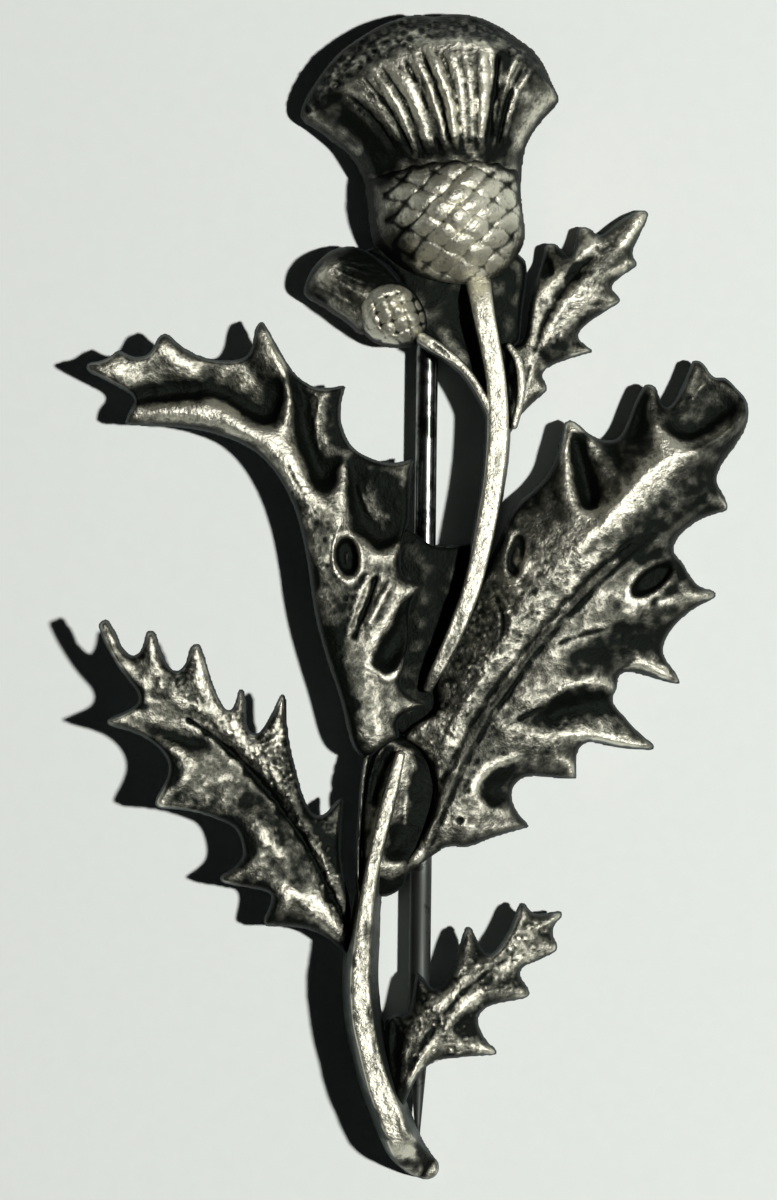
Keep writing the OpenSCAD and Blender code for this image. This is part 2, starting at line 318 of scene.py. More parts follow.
class Side(Enum):
    """How a stroke's sides fall away from its line."""

    ROUND = "round"
    SHARP = "sharp"
    FLAT = "flat"


@dataclass(frozen=True)
class Stroke:
    """A ridge or a groove on a face: x and y of its chart points in turn, half width, height and sides.

    It narrows towards its ends, over the length fade, to the share end_width of its width. Beside a flat
    stroke the cast roughness fades back over the range calm, in half widths.
    """

    path: Trail
    width: float
    lift: float
    side: Side = Side.ROUND
    fade: float = 0.5
    end_width: float = 0.45
    sharp_power: float = 1.3
    flat_share: float = 0.45
    calm: Pair = (0.8, 1.3)


@dataclass(frozen=True)
class Dent:
    """An oval hollow with a raised lip: its middle on the chart, its two half lengths, turn, depth and lip.

    The shares of its size say where its bowl starts and ends, and where its lip stands and how wide it is.
    """

    middle: Pair
    half_long: float
    half_wide: float
    turn: float
    depth: float
    lip: float
    bowl: Pair = (0.55, 1.05)
    lip_at: float = 1.14
    lip_width: float = 0.14


@dataclass(frozen=True)
class Pads:
    """Scales in crossing rows: one scale's middle, the steps along and across the rows, and their patch.

    A scale is a dome with rounded corners and a flat top, which tilts up towards its upper corner. Patina
    stays in the seams between the scales. The waves make the rows stray and the scales uneven.
    """

    middle: Pair
    along: Pair
    across: Pair
    patch: Trail
    lift: float
    square: float
    flat: float
    cross_share: float
    stray: float
    seam: float
    tilt: float = 0.0
    row_wave: Pair = (5.1, 1.3)
    rank_wave: Pair = (3.7, 0.9)
    lone_wave: Pair = (12.9, 4.1)
    uneven: float = 0.12
    level: float = 0.5
    dome_end: float = 1.15
    seam_from: float = 0.76
    patch_tip: float = 0.6
    patch_fade: float = 0.5


# Painted light: these strokes lay painted highlights and painted shade on a face, besides polish and patina.
@dataclass(frozen=True)
class WearAndLightRub:
    """A soft stroke: x and y of its chart points in turn, and half width. Above zero it brightens, as polish
    and painted highlight; below zero it darkens, as patina and painted shade.
    """

    path: Trail
    width: float
    share: float


@dataclass(frozen=True)
class Grain:
    """The roughness of a cast face: pits for each square millimetre, their radius and depth, and its lumps.

    Coarser lumps lie under the fine ones. The roughness fades in over the range calm inside the outline,
    and the pits keep the margin from it.
    """

    pits: float = 0.8
    pit_radius: float = 0.11
    pit_depth: float = 0.02
    lumps: float = 0.016
    lump_size: float = 0.2
    tooth: float = 0.003
    coarse_size: float = 2.6
    coarse_lift: float = 1.6
    calm: Pair = (0.15, 0.6)
    margin: float = 0.3


@dataclass(frozen=True)
class PittedPatch:
    """A patch of a face with pits, or with lumps where their depth is below zero.

    It has x and y of its chart outline in turn. Its pits have a number for each square millimetre, a radius,
    a depth and a margin that they keep from the piece's own outline.
    """

    patch: Trail
    pits: float
    radius: float = 0.13
    depth: float = 0.03
    margin: float = 0.25


Strokes = tuple[Stroke, ...]
Dents = tuple[Dent, ...]
WearAndLightRubs = tuple[WearAndLightRub, ...]
Patches = tuple[PittedPatch, ...]


class Face:
    """The height of one piece's face over its plan, while it is shaped."""

    WOBBLE_SEED = 7
    WOBBLE_SIZE = 0.22
    WOBBLE_LIFT = 0.05
    HANG_ROUNDS = ((16, 160), (8, 140), (4, 120), (2, 100), (1, 70))
    STROKE_END = -0.001
    PITS_FROM = 0.5
    PIT_RADII = (0.6, 1.5)
    PIT_DEPTHS = (0.4, 1.6)
    PIT_REACH = 1.5
    PIT_LIP = 0.35
    PIT_LIP_AT = 1.15
    PIT_LIP_WIDTH = 0.25

    def __init__(self, plan: Plan, edge: Array) -> None:
        """Starts a flat face.

        Args:
            plan: The grid that the face lies on.
            edge: The distance from the outline, below zero inside.
        """
        self.plan = plan
        self.edge = edge
        self.height = np.zeros(plan.shape)
        chance = np.random.default_rng(self.WOBBLE_SEED).standard_normal(plan.shape)
        noise = blurred(chance, self.WOBBLE_SIZE, plan.step)
        self.wobble = self.WOBBLE_LIFT * noise / noise.std()
        self.quiet = np.ones(plan.shape)
        self.seams = np.zeros(plan.shape)

    def hang(self, lines: list[Array], swell: float) -> None:
        """Stretches the face over lines of known height, as a skin is stretched over wires.

        Args:
            lines: Dense rows of x, y and height.
            swell: How much the face bulges between the lines, as a curvature.
        """
        plan = self.plan
        rows = []
        for line in lines:
            for a, b in zip(line[:-1], line[1:]):
                count = max(2, int(np.hypot(*(b - a)[:2]) / (0.5 * plan.step)) + 1)
                rows.append(a[:3] + (b - a)[:3] * np.linspace(0, 1, count)[:, None])
        rows = np.vstack(rows)
        guess = None
        for scale, rounds in self.HANG_ROUNDS:
            size = plan.step * scale
            shape = tuple(n // scale + 2 for n in plan.shape)
            i = np.clip(np.round((rows[:, 0] - plan.low[0]) / size).astype(int), 0, shape[0] - 1)
            j = np.clip(np.round((rows[:, 1] - plan.low[1]) / size).astype(int), 0, shape[1] - 1)
            flat = i * shape[1] + j
            cells = shape[0] * shape[1]
            count = np.bincount(flat, minlength=cells).reshape(shape)
            total = np.bincount(flat, rows[:, 2], minlength=cells).reshape(shape)
            known = count > 0
            value = np.where(known, total / np.maximum(count, 1), 0.0)
            start = rows[:, 2].mean() if guess is None else self.doubled(guess, shape)
            sheet = np.where(known, value, start)
            rise = swell * size * size / 4.0
            for _ in range(rounds):
                wide = np.pad(sheet, 1, mode="edge")
                mean = (wide[:-2, 1:-1] + wide[2:, 1:-1] + wide[1:-1, :-2] + wide[1:-1, 2:]) / 4.0
                sheet = np.where(known, value, mean + rise)
            guess = sheet
        self.height = guess[: plan.shape[0], : plan.shape[1]]

    @staticmethod
    def doubled(coarse: Array, shape: tuple[int, int]) -> Array:
        """Reads a grid at half its step.

        Args:
            coarse: The grid.
            shape: The shape of the finer grid.

        Returns:
            The finer grid.
        """
        u = np.arange(shape[0]) / 2.0
        v = np.arange(shape[1]) / 2.0
        iu = np.minimum(u.astype(int), coarse.shape[0] - 2)
        iv = np.minimum(v.astype(int), coarse.shape[1] - 2)
        fu, fv = (u - iu)[:, None], (v - iv)[None, :]
        sheet = (coarse[iu][:, iv] * (1 - fu) + coarse[iu + 1][:, iv] * fu) * (1 - fv)
        return sheet + (coarse[iu][:, iv + 1] * (1 - fu) + coarse[iu + 1][:, iv + 1] * fu) * fv

    def soften(self, radius: float) -> None:
        """Rounds every crease of the face by about a radius."""
        self.height = blurred(self.height, radius, self.plan.step)

    def press(self, stroke: Stroke) -> None:
        """Raises a ridge or presses a groove.

        Args:
            stroke: The line, its half width and its height, which is below zero for a groove.
        """
        path = softened_line(trailed(stroke.path))
        distance, place = self.plan.along(path)
        distance = np.abs(distance + self.wobble)
        lengths = np.concatenate([[0.0], np.cumsum(np.hypot(*np.diff(path[:, :2], axis=0).T))])
        travelled = np.interp(place, np.arange(len(path)), lengths)
        left = np.minimum(travelled, lengths[-1] - travelled)
        ends = eased(left, self.STROKE_END, stroke.fade)
        reach = stroke.width * (stroke.end_width + (1.0 - stroke.end_width) * ends)
        share = np.clip(distance / reach, 0.0, 1.0)
        if stroke.side is Side.ROUND:
            shape = 0.5 + 0.5 * np.cos(np.pi * share)
        elif stroke.side is Side.SHARP:
            shape = (1.0 - share) ** stroke.sharp_power
        else:
            shape = 1.0 - eased(share, stroke.flat_share, 1.0)
            calm = eased(distance, stroke.calm[0] * stroke.width, stroke.calm[1] * stroke.width)
            self.quiet = np.minimum(self.quiet, calm)
        self.height = self.height + stroke.lift * shape * ends

    def dent(self, dent: Dent) -> None:
        """Presses an oval hollow and raises its lip.

        Args:
            dent: The hollow's place, size and depth.
        """
        middle = charted((dent.middle,))[0]
        turn = math.radians(dent.turn)
        dx, dy = self.plan.x - middle[0], self.plan.y - middle[1]
        u = (dx * math.cos(turn) + dy * math.sin(turn)) / dent.half_long
        v = (dy * math.cos(turn) - dx * math.sin(turn)) / dent.half_wide
        ring = np.sqrt(u * u + v * v)
        self.height = self.height - dent.depth * (1.0 - eased(ring, *dent.bowl))
        self.height = self.height + dent.lip * np.exp(-(((ring - dent.lip_at) / dent.lip_width) ** 2))

    def roughen(self, grain: Grain, seed: int) -> None:
        """Gives the face its cast roughness, which dies away at its rim.

        Args:
            grain: The pits and lumps.
            seed: Which random face it is.
        """
        plan = self.plan
        rng = np.random.default_rng(seed)
        calm = self.quiet * eased(-self.edge, *grain.calm)
        coarse = (grain.coarse_size * grain.lump_size, grain.coarse_lift * grain.lumps)
        for size, lift in ((grain.lump_size, grain.lumps), coarse):
            noise = blurred(rng.standard_normal(plan.shape), 0.5 * size, plan.step)
            self.height = self.height + calm * lift * noise / noise.std()
        self.height = self.height + calm * grain.tooth * rng.standard_normal(plan.shape)
        where = (self.edge < -grain.margin) & (self.quiet > self.PITS_FROM)
        self.pit(where, grain.pits, grain.pit_radius, grain.pit_depth, rng)

    def stipple(self, patch: PittedPatch, seed: int) -> None:
        """Fills a patch with pits.

        Args:
            patch: The patch and its pits.
            seed: Which random pits they are.
        """
        where = self.plan.inside(trailed(patch.patch)) & (self.edge < -patch.margin)
        where &= self.quiet > self.PITS_FROM
        self.pit(where, patch.pits, patch.radius, patch.depth, np.random.default_rng(seed))

    def pit(
        self, where: Array, pits: float, radius: float, depth: float, rng: np.random.Generator
    ) -> None:
        """Presses small round pits at random places.

        Args:
            where: The cells that may hold a pit's middle.
            pits: How many there are in a square millimetre.
            radius: Their usual radius.
            depth: Their usual depth.
            rng: The source of chance.
        """
        plan = self.plan
        places = np.argwhere(where)
        if not len(places):
            return
        for k in rng.integers(0, len(places), int(len(places) * plan.step**2 * pits)):
            pit_radius = radius * rng.uniform(*self.PIT_RADII)
            pit_depth = depth * rng.uniform(*self.PIT_DEPTHS)
            reach = int(math.ceil(self.PIT_REACH * pit_radius / plan.step))
            i, j = places[k]
            window = (
                slice(max(i - reach, 0), i + reach + 1),
                slice(max(j - reach, 0), j + reach + 1),
            )
            off = np.hypot(plan.x[window] - plan.x[i, j], plan.y[window] - plan.y[i, j]) / pit_radius
            bowl = -pit_depth * np.clip(1.0 - off * off, 0.0, 1.0)
            lip = self.PIT_LIP * pit_depth * np.exp(-(((off - self.PIT_LIP_AT) / self.PIT_LIP_WIDTH) ** 2))
            self.height[window] += bowl + lip

    def pad(self, pads: Pads) -> None:
        """Raises rows of scales that meet in creases.

        Args:
            pads: The scales' rows and the patch that they fill.
        """
        middle = charted((pads.middle,))[0]
        a, b = CHART_STEP * pads.along[0], -CHART_STEP * pads.along[1]
        c, d = CHART_STEP * pads.across[0], -CHART_STEP * pads.across[1]
        dx, dy = self.plan.x - middle[0], self.plan.y - middle[1]
        area = a * d - b * c
        row = (dx * d - dy * c) / area
        rank = (dy * a - dx * b) / area
        row = row + pads.stray * np.sin(pads.row_wave[0] * rank + pads.row_wave[1] * row)
        rank = rank + pads.stray * np.sin(pads.rank_wave[0] * row - pads.rank_wave[1] * rank)
        lone = np.sin(pads.lone_wave[0] * np.round(row) + pads.lone_wave[1] * np.round(rank))
        row, rank = row - np.round(row), rank - np.round(rank)
        off = np.abs(2.0 * rank) ** pads.square + np.abs(2.0 * pads.cross_share * row) ** pads.square
        ring = off ** (1.0 / pads.square)
        dome = 1.0 - np.minimum(ring, pads.dome_end) ** pads.flat
        reach = softened_outline(trailed(pads.patch), pads.patch_tip)
        share = eased(-self.plan.edge_distance(reach), 0.0, pads.patch_fade)
        rise = pads.lift * (dome - pads.level + pads.uneven * lone) + pads.tilt * (row - rank)
        self.height = self.height + share * rise
        self.seams = np.maximum(self.seams, pads.seam * share * eased(ring, pads.seam_from, 1.0))

    def round_rim(self, radius: float, drop: float) -> None:
        """Rounds the face over towards its rim.

        Args:
            radius: How far in the rounding starts.
            drop: How far the rim lies below the face.
        """
        share = np.clip(1.0 + self.edge / radius, 0.0, 1.0)
        self.height = self.height - drop * (1.0 - np.sqrt(1.0 - share * share))


def net_of(solid: Array) -> tuple[Array, Array]:
    """Draws a net of four-sided faces over the surface where a field passes through zero.

    Args:
        solid: A field on an even grid, below zero inside the metal.

    Returns:
        The net's corners in steps of the grid, and the corner numbers of each face.
    """
    shape = solid.shape
    strides = np.array([shape[1] * shape[2], shape[2], 1])
    metal = solid < 0
    cells, spots, faces = [], [], []
    for axis in range(3):
        head = [slice(None)] * 3
        tail = [slice(None)] * 3
        head[axis], tail[axis] = slice(0, -1), slice(1, None)
        head, tail = tuple(head), tuple(tail)
        corner = np.argwhere(metal[head] != metal[tail])
        first = solid[head][tuple(corner.T)]
        second = solid[tail][tuple(corner.T)]
        spot = corner.astype(float)
        spot[:, axis] += first / (first - second)
        b, c = [(1, 2), (2, 0), (0, 1)][axis]
        home = corner @ strides
        ring = np.stack([home, home - strides[b], home - strides[b] - strides[c], home - strides[c]], 1)
        ring[first > 0] = ring[first > 0][:, ::-1]
        faces.append(ring)
        cells.append(ring.ravel())
        spots.append(np.repeat(spot, 4, axis=0))
    cells, spots, faces = np.concatenate(cells), np.concatenate(spots), np.concatenate(faces)
    names, place = np.unique(cells, return_inverse=True)
    count = np.bincount(place)
    corners = np.stack([np.bincount(place, spots[:, k]) / count for k in range(3)], 1)
    return corners, np.searchsorted(names, faces)


def mesh_of(name: str, corners: Array, faces: Array, marks: dict[str, Array]) -> Piece:
    """Makes a smooth-shaded mesh object.

    Args:
        name: The piece's name.
        corners: The corners in millimetres.
        faces: Four corner numbers for each face.
        marks: Numbers to keep at each corner, by name.

    Returns:
        The object, linked to the scene.
    """
    mesh = bpy.data.meshes.new(name)
    mesh.vertices.add(len(corners))
    mesh.vertices.foreach_set("co", (corners * MM).astype(np.float32).ravel())
    mesh.loops.add(faces.size)
    mesh.loops.foreach_set("vertex_index", faces.astype(np.int32).ravel())
    mesh.polygons.add(len(faces))
    mesh.polygons.foreach_set("loop_start", np.arange(0, faces.size, 4, dtype=np.int32))
    mesh.polygons.foreach_set("use_smooth", np.ones(len(faces), bool))
    mesh.update(calc_edges=True)
    mesh.validate()
    for mark, values in marks.items():
        layer = mesh.attributes.new(mark, "FLOAT", "POINT")
        layer.data.foreach_set("value", values.astype(np.float32))
    piece = bpy.data.objects.new(name, mesh)
    bpy.context.scene.collection.objects.link(piece)
    return piece


@dataclass
class Casting:
    """How a face becomes a solid of cast metal: its thickness, drafted walls, rounded edges, polish and
    patina, and painted highlight and painted shade.

    The pin fields say where the back rises to clear the pin. The polish rows each hold a radius, the height
    above the surroundings within it that counts as fully proud, and how much wear that brings.
    """

    rim: float = 0.6
    body: float = 1.2
    body_breadth: float = 0.9
    breadth_end: float = 3.0
    breadth_blur: float = 0.45
    calm_blur: float = 0.5
    least_share: float = 0.6
    back_blur: float = 0.2
    draft: float = 0.17
    flange: float = 0.1
    flange_height: float = 0.12
    edge_round: float = 0.16
    pin_clear: float = 2.1
    pin_reach: float = 1.1
    pin_slope: float = 0.5
    pin_x: float = 0.62
    pin_y: float = 22.2
    pin_lean: float = 0.72
    spare_cells: int = 3
    just_outside: float = 0.01
    # Painted shade: where steep walls turn to the darker colour, and how much of it they take.
    wall_shade_range: Pair = (0.18, 0.5)
    wall_shade_share: float = 1.0
    back_range: Pair = (0.04, 0.25)
    back_wall_shade: float = 0.8
    back_wear: float = 0.35
    polish: Chart = ((0.1, 0.03, 0.14), (0.25, 0.1, 0.2), (0.6, 0.3, 0.22))
    polish_range: Pair = (-1.4, 0.6)
    weathered: float = 1.0
    rim_range: Pair = (-0.7, -0.1)
    wear_and_light_wobble: float = 3.0
    wear_and_light_core: float = 0.1
    wear_and_light_end: float = 1.6

    def back_of(self, face: Face) -> Array:
        """Works out the plain back under a face.

        Args:
            face: The finished face.

        Returns:
            The height of the back.
        """
        step = face.plan.step
        breadth = blurred(np.clip(-face.edge, 0.0, self.breadth_end), self.breadth_blur, step)
        thick = self.rim + (self.body - self.rim) * np.clip(breadth / self.body_breadth, 0.0, 1.0)
        calm = blurred(face.height, self.calm_blur, step)
        back = np.minimum(calm - thick, face.height - self.least_share * thick)
        back = blurred(back, self.back_blur, step)
        run = math.tan(math.radians(self.pin_lean))
        off = np.abs(face.plan.x - self.pin_x + (self.pin_y - face.plan.y) * run)
        over_pin = self.pin_clear * (1.0 - eased(off, self.pin_reach, self.pin_reach + self.pin_slope))
        over_pin = np.where(face.plan.y > self.pin_y, 0.0, over_pin)
        return np.maximum(np.maximum(back, over_pin), 0.0)

    def solid(self, name: str, face: Face, back: Array, wear_and_light: Array) -> Piece:
        """Makes the solid between a face and its back.

        Args:
            name: The piece's name.
            face: The finished face.
            back: The height of the back.
            wear_and_light: How bright each cell of the face is, from 0 for patina and painted shade to 1 for
                bright metal and painted highlight.

        Returns:
            The piece, with its polish, patina, painted highlight and painted shade marked on it, and the
            painted shade of its walls.
        """
        plan = face.plan
        step = plan.step
        top = face.height
        low = max(float(back[face.edge < 0].min()), 0.0) - self.spare_cells * step
        high = float(top[face.edge < 0].max()) + self.spare_cells * step
        z = low + step * np.arange(int(math.ceil((high - low) / step)) + 1)
        slope_x, slope_y = np.gradient(top, step)
        lean = (1.0 / np.sqrt(1.0 + slope_x**2 + slope_y**2))[..., None]
        z = z[None, None, :]
        above = (z - top[..., None]) * lean
        below = back[..., None] - z
        rise = np.maximum(z - back[..., None], 0.0)
        inset = self.draft * rise + self.flange * (1.0 - np.exp(-rise / self.flange_height))
        beside = (face.edge[..., None] + inset) / math.hypot(1.0, self.draft)
        metal = blended_max(above, beside, self.edge_round)
        metal = blended_max(metal, below, 0.5 * self.edge_round)
        metal[[0, -1]] = 1.0
        metal[:, [0, -1]] = 1.0
        metal[:, :, [0, -1]] = np.maximum(metal[:, :, [0, -1]], self.just_outside)
        corners, faces = net_of(metal.astype(np.float32))
        spots = corners * step + np.array([plan.low[0], plan.low[1], low])
        x, y = spots[:, 0], spots[:, 1]
        depth = plan.sample(top, x, y) - spots[:, 2]
        # Painted shade: steep walls take a darker, greener colour that stands for the shaded paper they
        # reflect.
        wall_shade = self.wall_shade_share * eased(depth, *self.wall_shade_range)
        # Near its back a piece takes a fixed value and most of that darker colour: painted shade on the side
        # that faces the floor.
        behind = 1.0 - eased(spots[:, 2] - plan.sample(back, x, y), *self.back_range)
        # The first mark holds polish and patina, and also painted highlight and painted shade.
        worn_and_lit = plan.sample(wear_and_light, x, y) * (1.0 - behind) + self.back_wear * behind
        marks = {"WearAndLight": worn_and_lit, "WallShade": np.maximum(wall_shade, self.back_wall_shade * behind)}
        return mesh_of(name, spots, faces, marks)

    def weather_and_light(self, face: Face, base: float, rim_wear: float, wear_and_light_rubs: WearAndLightRubs) -> Array:
        """Works out where handling has polished a face and where the dark patina is left, and where highlight
        and shade are painted on.

        Args:
            face: The finished face, before its rim is rounded.
            base: How bright a plain stretch of the face is, by polish and by painted light.
            rim_wear: How much more its rim is worn.
            wear_and_light_rubs: Polish, patina, painted highlights and painted shade, laid on along listed
                lines.

        Returns:
            How bright each cell is, from 0 for patina and painted shade to 1 for bright metal and painted
            highlight.
        """
        step = face.plan.step
        top = face.height
        total = np.full_like(top, base)
        for radius, proud, weight in self.polish:
            share = np.clip((top - blurred(top, radius, step)) / proud, *self.polish_range)
            total += self.weathered * weight * share
        total += rim_wear * eased(face.edge, *self.rim_range) - face.seams
        # Painted light: listed strokes add painted highlights and painted shade, as well as polish and
        # patina.
        for wear_and_light_rub in wear_and_light_rubs:
            distance, _ = face.plan.along(softened_line(trailed(wear_and_light_rub.path)))
            distance = distance + self.wear_and_light_wobble * face.wobble
            fall = eased(distance, self.wear_and_light_core * wear_and_light_rub.width, self.wear_and_light_end * wear_and_light_rub.width)
            total += wear_and_light_rub.share * (1.0 - fall)
        return np.clip(total, 0.0, 1.0)


@dataclass
class Relief:
    """A piece with a modelled face.

    It has an outline with heights, folds that the face hangs on, and what is chased, scaled or pitted
    into it.
    """

    name: str
    outline: Chart
    folds: Charts
    strokes: Strokes = ()
    dents: Dents = ()
    pads: tuple[Pads, ...] = ()
    patches: Patches = ()
    # Painted highlight and painted shade ride on these strokes, besides polish and patina.
    wear_and_light_rubs: WearAndLightRubs = ()
    # The plain value is polish, and per piece also painted light: painted highlight on the bright cups,
    # painted shade on the webs.
    base_wear_and_light: float = 0.4
    rim_wear: float = -0.12
    swell: float = 0.0
    tip: float = 0.4
    step: float = 0.1
    crease: float = 0.13
    rim_radius: float = 0.45
    rim_drop: float = 0.42
    seed: int = 1
    patch_seeds: int = 100
    grain: Grain = field(default_factory=Grain)
    casting: Casting = field(default_factory=Casting)

    def build(self) -> Piece:
        """Makes the piece's solid.

        Returns:
            The piece, without its finish.
        """
        outline = softened_outline(charted(self.outline), self.tip)
        plan = Plan(outline, self.step * (1.0))
        face = Face(plan, plan.edge_distance(outline))
        lines = [softened_line(charted(fold)) for fold in self.folds]
        face.hang([np.vstack([outline, outline[:1]])] + lines, self.swell)
        face.soften(self.crease)
        for stroke in self.strokes:
            face.press(stroke)
        for dent in self.dents:
            face.dent(dent)
        for pads in self.pads:
            face.pad(pads)
        for k, patch in enumerate(self.patches):
            face.stipple(patch, self.patch_seeds * self.seed + k)
        face.roughen(self.grain, self.seed)
        wear_and_light = self.casting.weather_and_light(face, self.base_wear_and_light, self.rim_wear, self.wear_and_light_rubs)
        face.round_rim(self.rim_radius, self.rim_drop)
        return self.casting.solid(self.name, face, self.casting.back_of(face), wear_and_light)


@dataclass
class Stem:
    """A rounded stem: rows of chart x, y, height of its ridge, half width and height of its back."""

    name: str
    rows: Chart
    strokes: Strokes = ()
    # Painted highlight and painted shade ride on these strokes, besides polish and patina.
    wear_and_light_rubs: WearAndLightRubs = ()
    # The plain value is polish and also painted highlight, set per stem to its lit tone.
    base_wear_and_light: float = 0.85
    rim_wear: float = -0.2
    crown: float = 0.5
    flatness: float = 3.6
    step: float = 0.1
    margin: float = 0.6
    seed: int = 1
    grain: Grain = field(default_factory=lambda: Grain(pits=0.6))
    casting: Casting = field(default_factory=lambda: Casting(draft=0.07, flange=0.06))

    def build(self) -> Piece:
        """Makes the stem's solid.

        Returns:
            The piece, without its finish.
        """
        rows = softened_line(charted(self.rows), STEM_PIECES)
        step = self.step * 1.0
        plan = Plan(rows, step, margin=rows[:, 3].max() + self.margin)
        distance, place = plan.along(rows)
        ridge, half, back = (np.interp(place, np.arange(len(rows)), rows[:, k]) for k in (2, 3, 4))
        face = Face(plan, distance - half)
        share = np.clip(distance / half, 0.0, 1.0)
        fall = 1.0 - np.sqrt(np.maximum(1.0 - share**self.flatness, 0.0))
        face.height = ridge - self.crown * half * fall
        for stroke in self.strokes:
            face.press(stroke)
        face.roughen(self.grain, self.seed)
        wear_and_light = self.casting.weather_and_light(face, self.base_wear_and_light, self.rim_wear, self.wear_and_light_rubs)
        return self.casting.solid(self.name, face, back, wear_and_light)


@dataclass(frozen=True)
class AntiquedPewter:
    """Cast pewter, blackened in its hollows and rubbed bright on its ridges, with painted highlight and
    painted shade laid over it.

    A pattern is its scale in turns a metre, how many finer patterns it holds and how strong they are.
    """

    name: str = "antiqued_pewter"
    bright: Triple = (0.78, 0.765, 0.64)
    dull: Triple = (0.16, 0.161, 0.131)
    # Patina's colour, which also serves for painted shade where the face's mark is low.
    patina: Triple = (0.011, 0.0135, 0.0112)
    # Painted shade: the darker, greener colour of steep walls, for the shaded paper they reflect.
    wall_shade: Triple = (0.05, 0.064, 0.062)
    bright_rough: float = 0.48
    dull_rough: float = 0.5
    patina_rough: float = 0.66
    rough_spread: float = 0.16
    fine: Triple = (4600.0, 4.0, 0.6)
    mottle: Triple = (1500.0, 5.0, 0.62)
    mottled: float = 1.35
    specked: float = 1.05
    dull_range: Pair = (0.08, 0.6)
    bright_range: Pair = (0.42, 0.95)
    bump: float = 0.9
    bump_depth: float = 0.1
    mottle_bump: float = 0.8

    def make(self) -> bpy.types.Material:
        """Builds the material's nodes.

        Returns:
            The material.
        """
        nodes = NodeBoard(self.name)
        spot = nodes.add("ShaderNodeTexCoord").outputs["Object"]
        mottle = nodes.noise(spot, *self.mottle)
        fine = nodes.noise(spot, *self.fine)
        wear_and_light = nodes.mark("WearAndLight")
        # Painted shade on steep walls and on the back.
        wall_shade = nodes.mark("WallShade")
        uneven = nodes.math("MULTIPLY_ADD", mottle, self.mottled, 1.0 - 0.5 * (self.mottled + self.specked))
        uneven = nodes.math("MULTIPLY_ADD", fine, self.specked, uneven)
        ragged = nodes.math("MULTIPLY", wear_and_light, uneven)
        dull_share = nodes.ramp(ragged, *self.dull_range)
        bright_share = nodes.ramp(ragged, *self.bright_range)
        # Painted light: the colour follows the first mark, which carries painted highlight and painted shade
        # besides polish and patina.
        colour = nodes.mix("RGBA", dull_share, self.patina, self.dull)
        colour = nodes.mix("RGBA", bright_share, colour, self.bright)
        colour = nodes.mix("RGBA", wall_shade, colour, self.wall_shade)
        rough = nodes.mix("FLOAT", dull_share, self.patina_rough, self.dull_rough)
        rough = nodes.mix("FLOAT", bright_share, rough, self.bright_rough)
        spread = nodes.math("MULTIPLY_ADD", fine, self.rough_spread, -0.5 * self.rough_spread)
        relief = nodes.math("ADD", fine, nodes.math("MULTIPLY", mottle, self.mottle_bump))
        nodes.emboss(relief, self.bump, self.bump_depth)
        nodes.shader.inputs["Metallic"].default_value = 1.0
        nodes.join(colour, nodes.shader.inputs["Base Color"])
        nodes.join(nodes.math("ADD", rough, spread), nodes.shader.inputs["Roughness"])
        return nodes.material


@dataclass(frozen=True)
class DrawnSteel:
    """Drawn or pressed steel with fine lines along one axis and a dull film.

    Past the place dull_below along the brooch, if one is given, a wire takes more of its film colour and
    grows rougher.
    """

    name: str
    colour: Triple
    film: Triple
    rough: float
    line_scale: Triple = (9000.0, 300.0, 9000.0)
    lines: Triple = (1.0, 3.0, 0.6)
    line_spread: float = 0.25
    line_level: float = 0.12
    stain: Triple = (900.0, 4.0, 0.6)
    clean: float = 0.45
    clean_fade: float = 0.2
    dull_below: float | None = None
    dull_fade: float = 2.0
    dull_film: float = 0.85
    dull_rough: float = 0.3
    bump: float = 0.12
    bump_depth: float = 0.03

    def make(self) -> bpy.types.Material:
        """Builds the material's nodes.

        Returns:
            The material.
        """
        nodes = NodeBoard(self.name)
        spot = nodes.add("ShaderNodeTexCoord").outputs["Object"]
        stretch = nodes.add("ShaderNodeMapping")
        stretch.inputs["Scale"].default_value = self.line_scale
        nodes.join(spot, stretch.inputs["Vector"])
        lines = nodes.noise(stretch.outputs["Vector"], *self.lines)
        stain = nodes.noise(spot, *self.stain)
        share = nodes.ramp(stain, self.clean, self.clean + self.clean_fade)
        rough = nodes.math("MULTIPLY_ADD", lines, self.line_spread, self.rough - self.line_level)
        if self.dull_below is not None:
            apart = nodes.add("ShaderNodeSeparateXYZ")
            nodes.join(spot, apart.inputs["Vector"])
            low, fade = self.dull_below * MM, self.dull_fade * MM
            clean = nodes.ramp(apart.outputs["Y"], low - fade, low + fade)
            dulled = nodes.math("SUBTRACT", 1.0, clean)
            share = nodes.math("MAXIMUM", share, nodes.math("MULTIPLY", dulled, self.dull_film))
            rough = nodes.math("MULTIPLY_ADD", dulled, self.dull_rough, rough)
        nodes.join(nodes.mix("RGBA", share, self.colour, self.film), nodes.shader.inputs["Base Color"])
        nodes.join(rough, nodes.shader.inputs["Roughness"])
        nodes.shader.inputs["Metallic"].default_value = 1.0
        nodes.emboss(lines, self.bump, self.bump_depth)
        return nodes.material


@dataclass(frozen=True)
class Paper:
    """The pale, slightly toothed paper of the floor."""

    name: str = "pale_paper"
    colour: Triple = (0.74, 0.775, 0.75)
    shade: float = 0.94
    rough: float = 0.9
    fibres: Triple = (900.0, 5.0, 0.65)
    bump: float = 0.12
    bump_depth: float = 0.1

    def make(self) -> bpy.types.Material:
        """Builds the material's nodes.

        Returns:
            The material.
        """
        nodes = NodeBoard(self.name)
        spot = nodes.add("ShaderNodeTexCoord").outputs["Object"]
        fibres = nodes.noise(spot, *self.fibres)
        darker = tuple(self.shade * c for c in self.colour)
        nodes.join(nodes.mix("RGBA", fibres, darker, self.colour), nodes.shader.inputs["Base Color"])
        nodes.shader.inputs["Roughness"].default_value = self.rough
        nodes.emboss(fibres, self.bump, self.bump_depth)
        return nodes.material


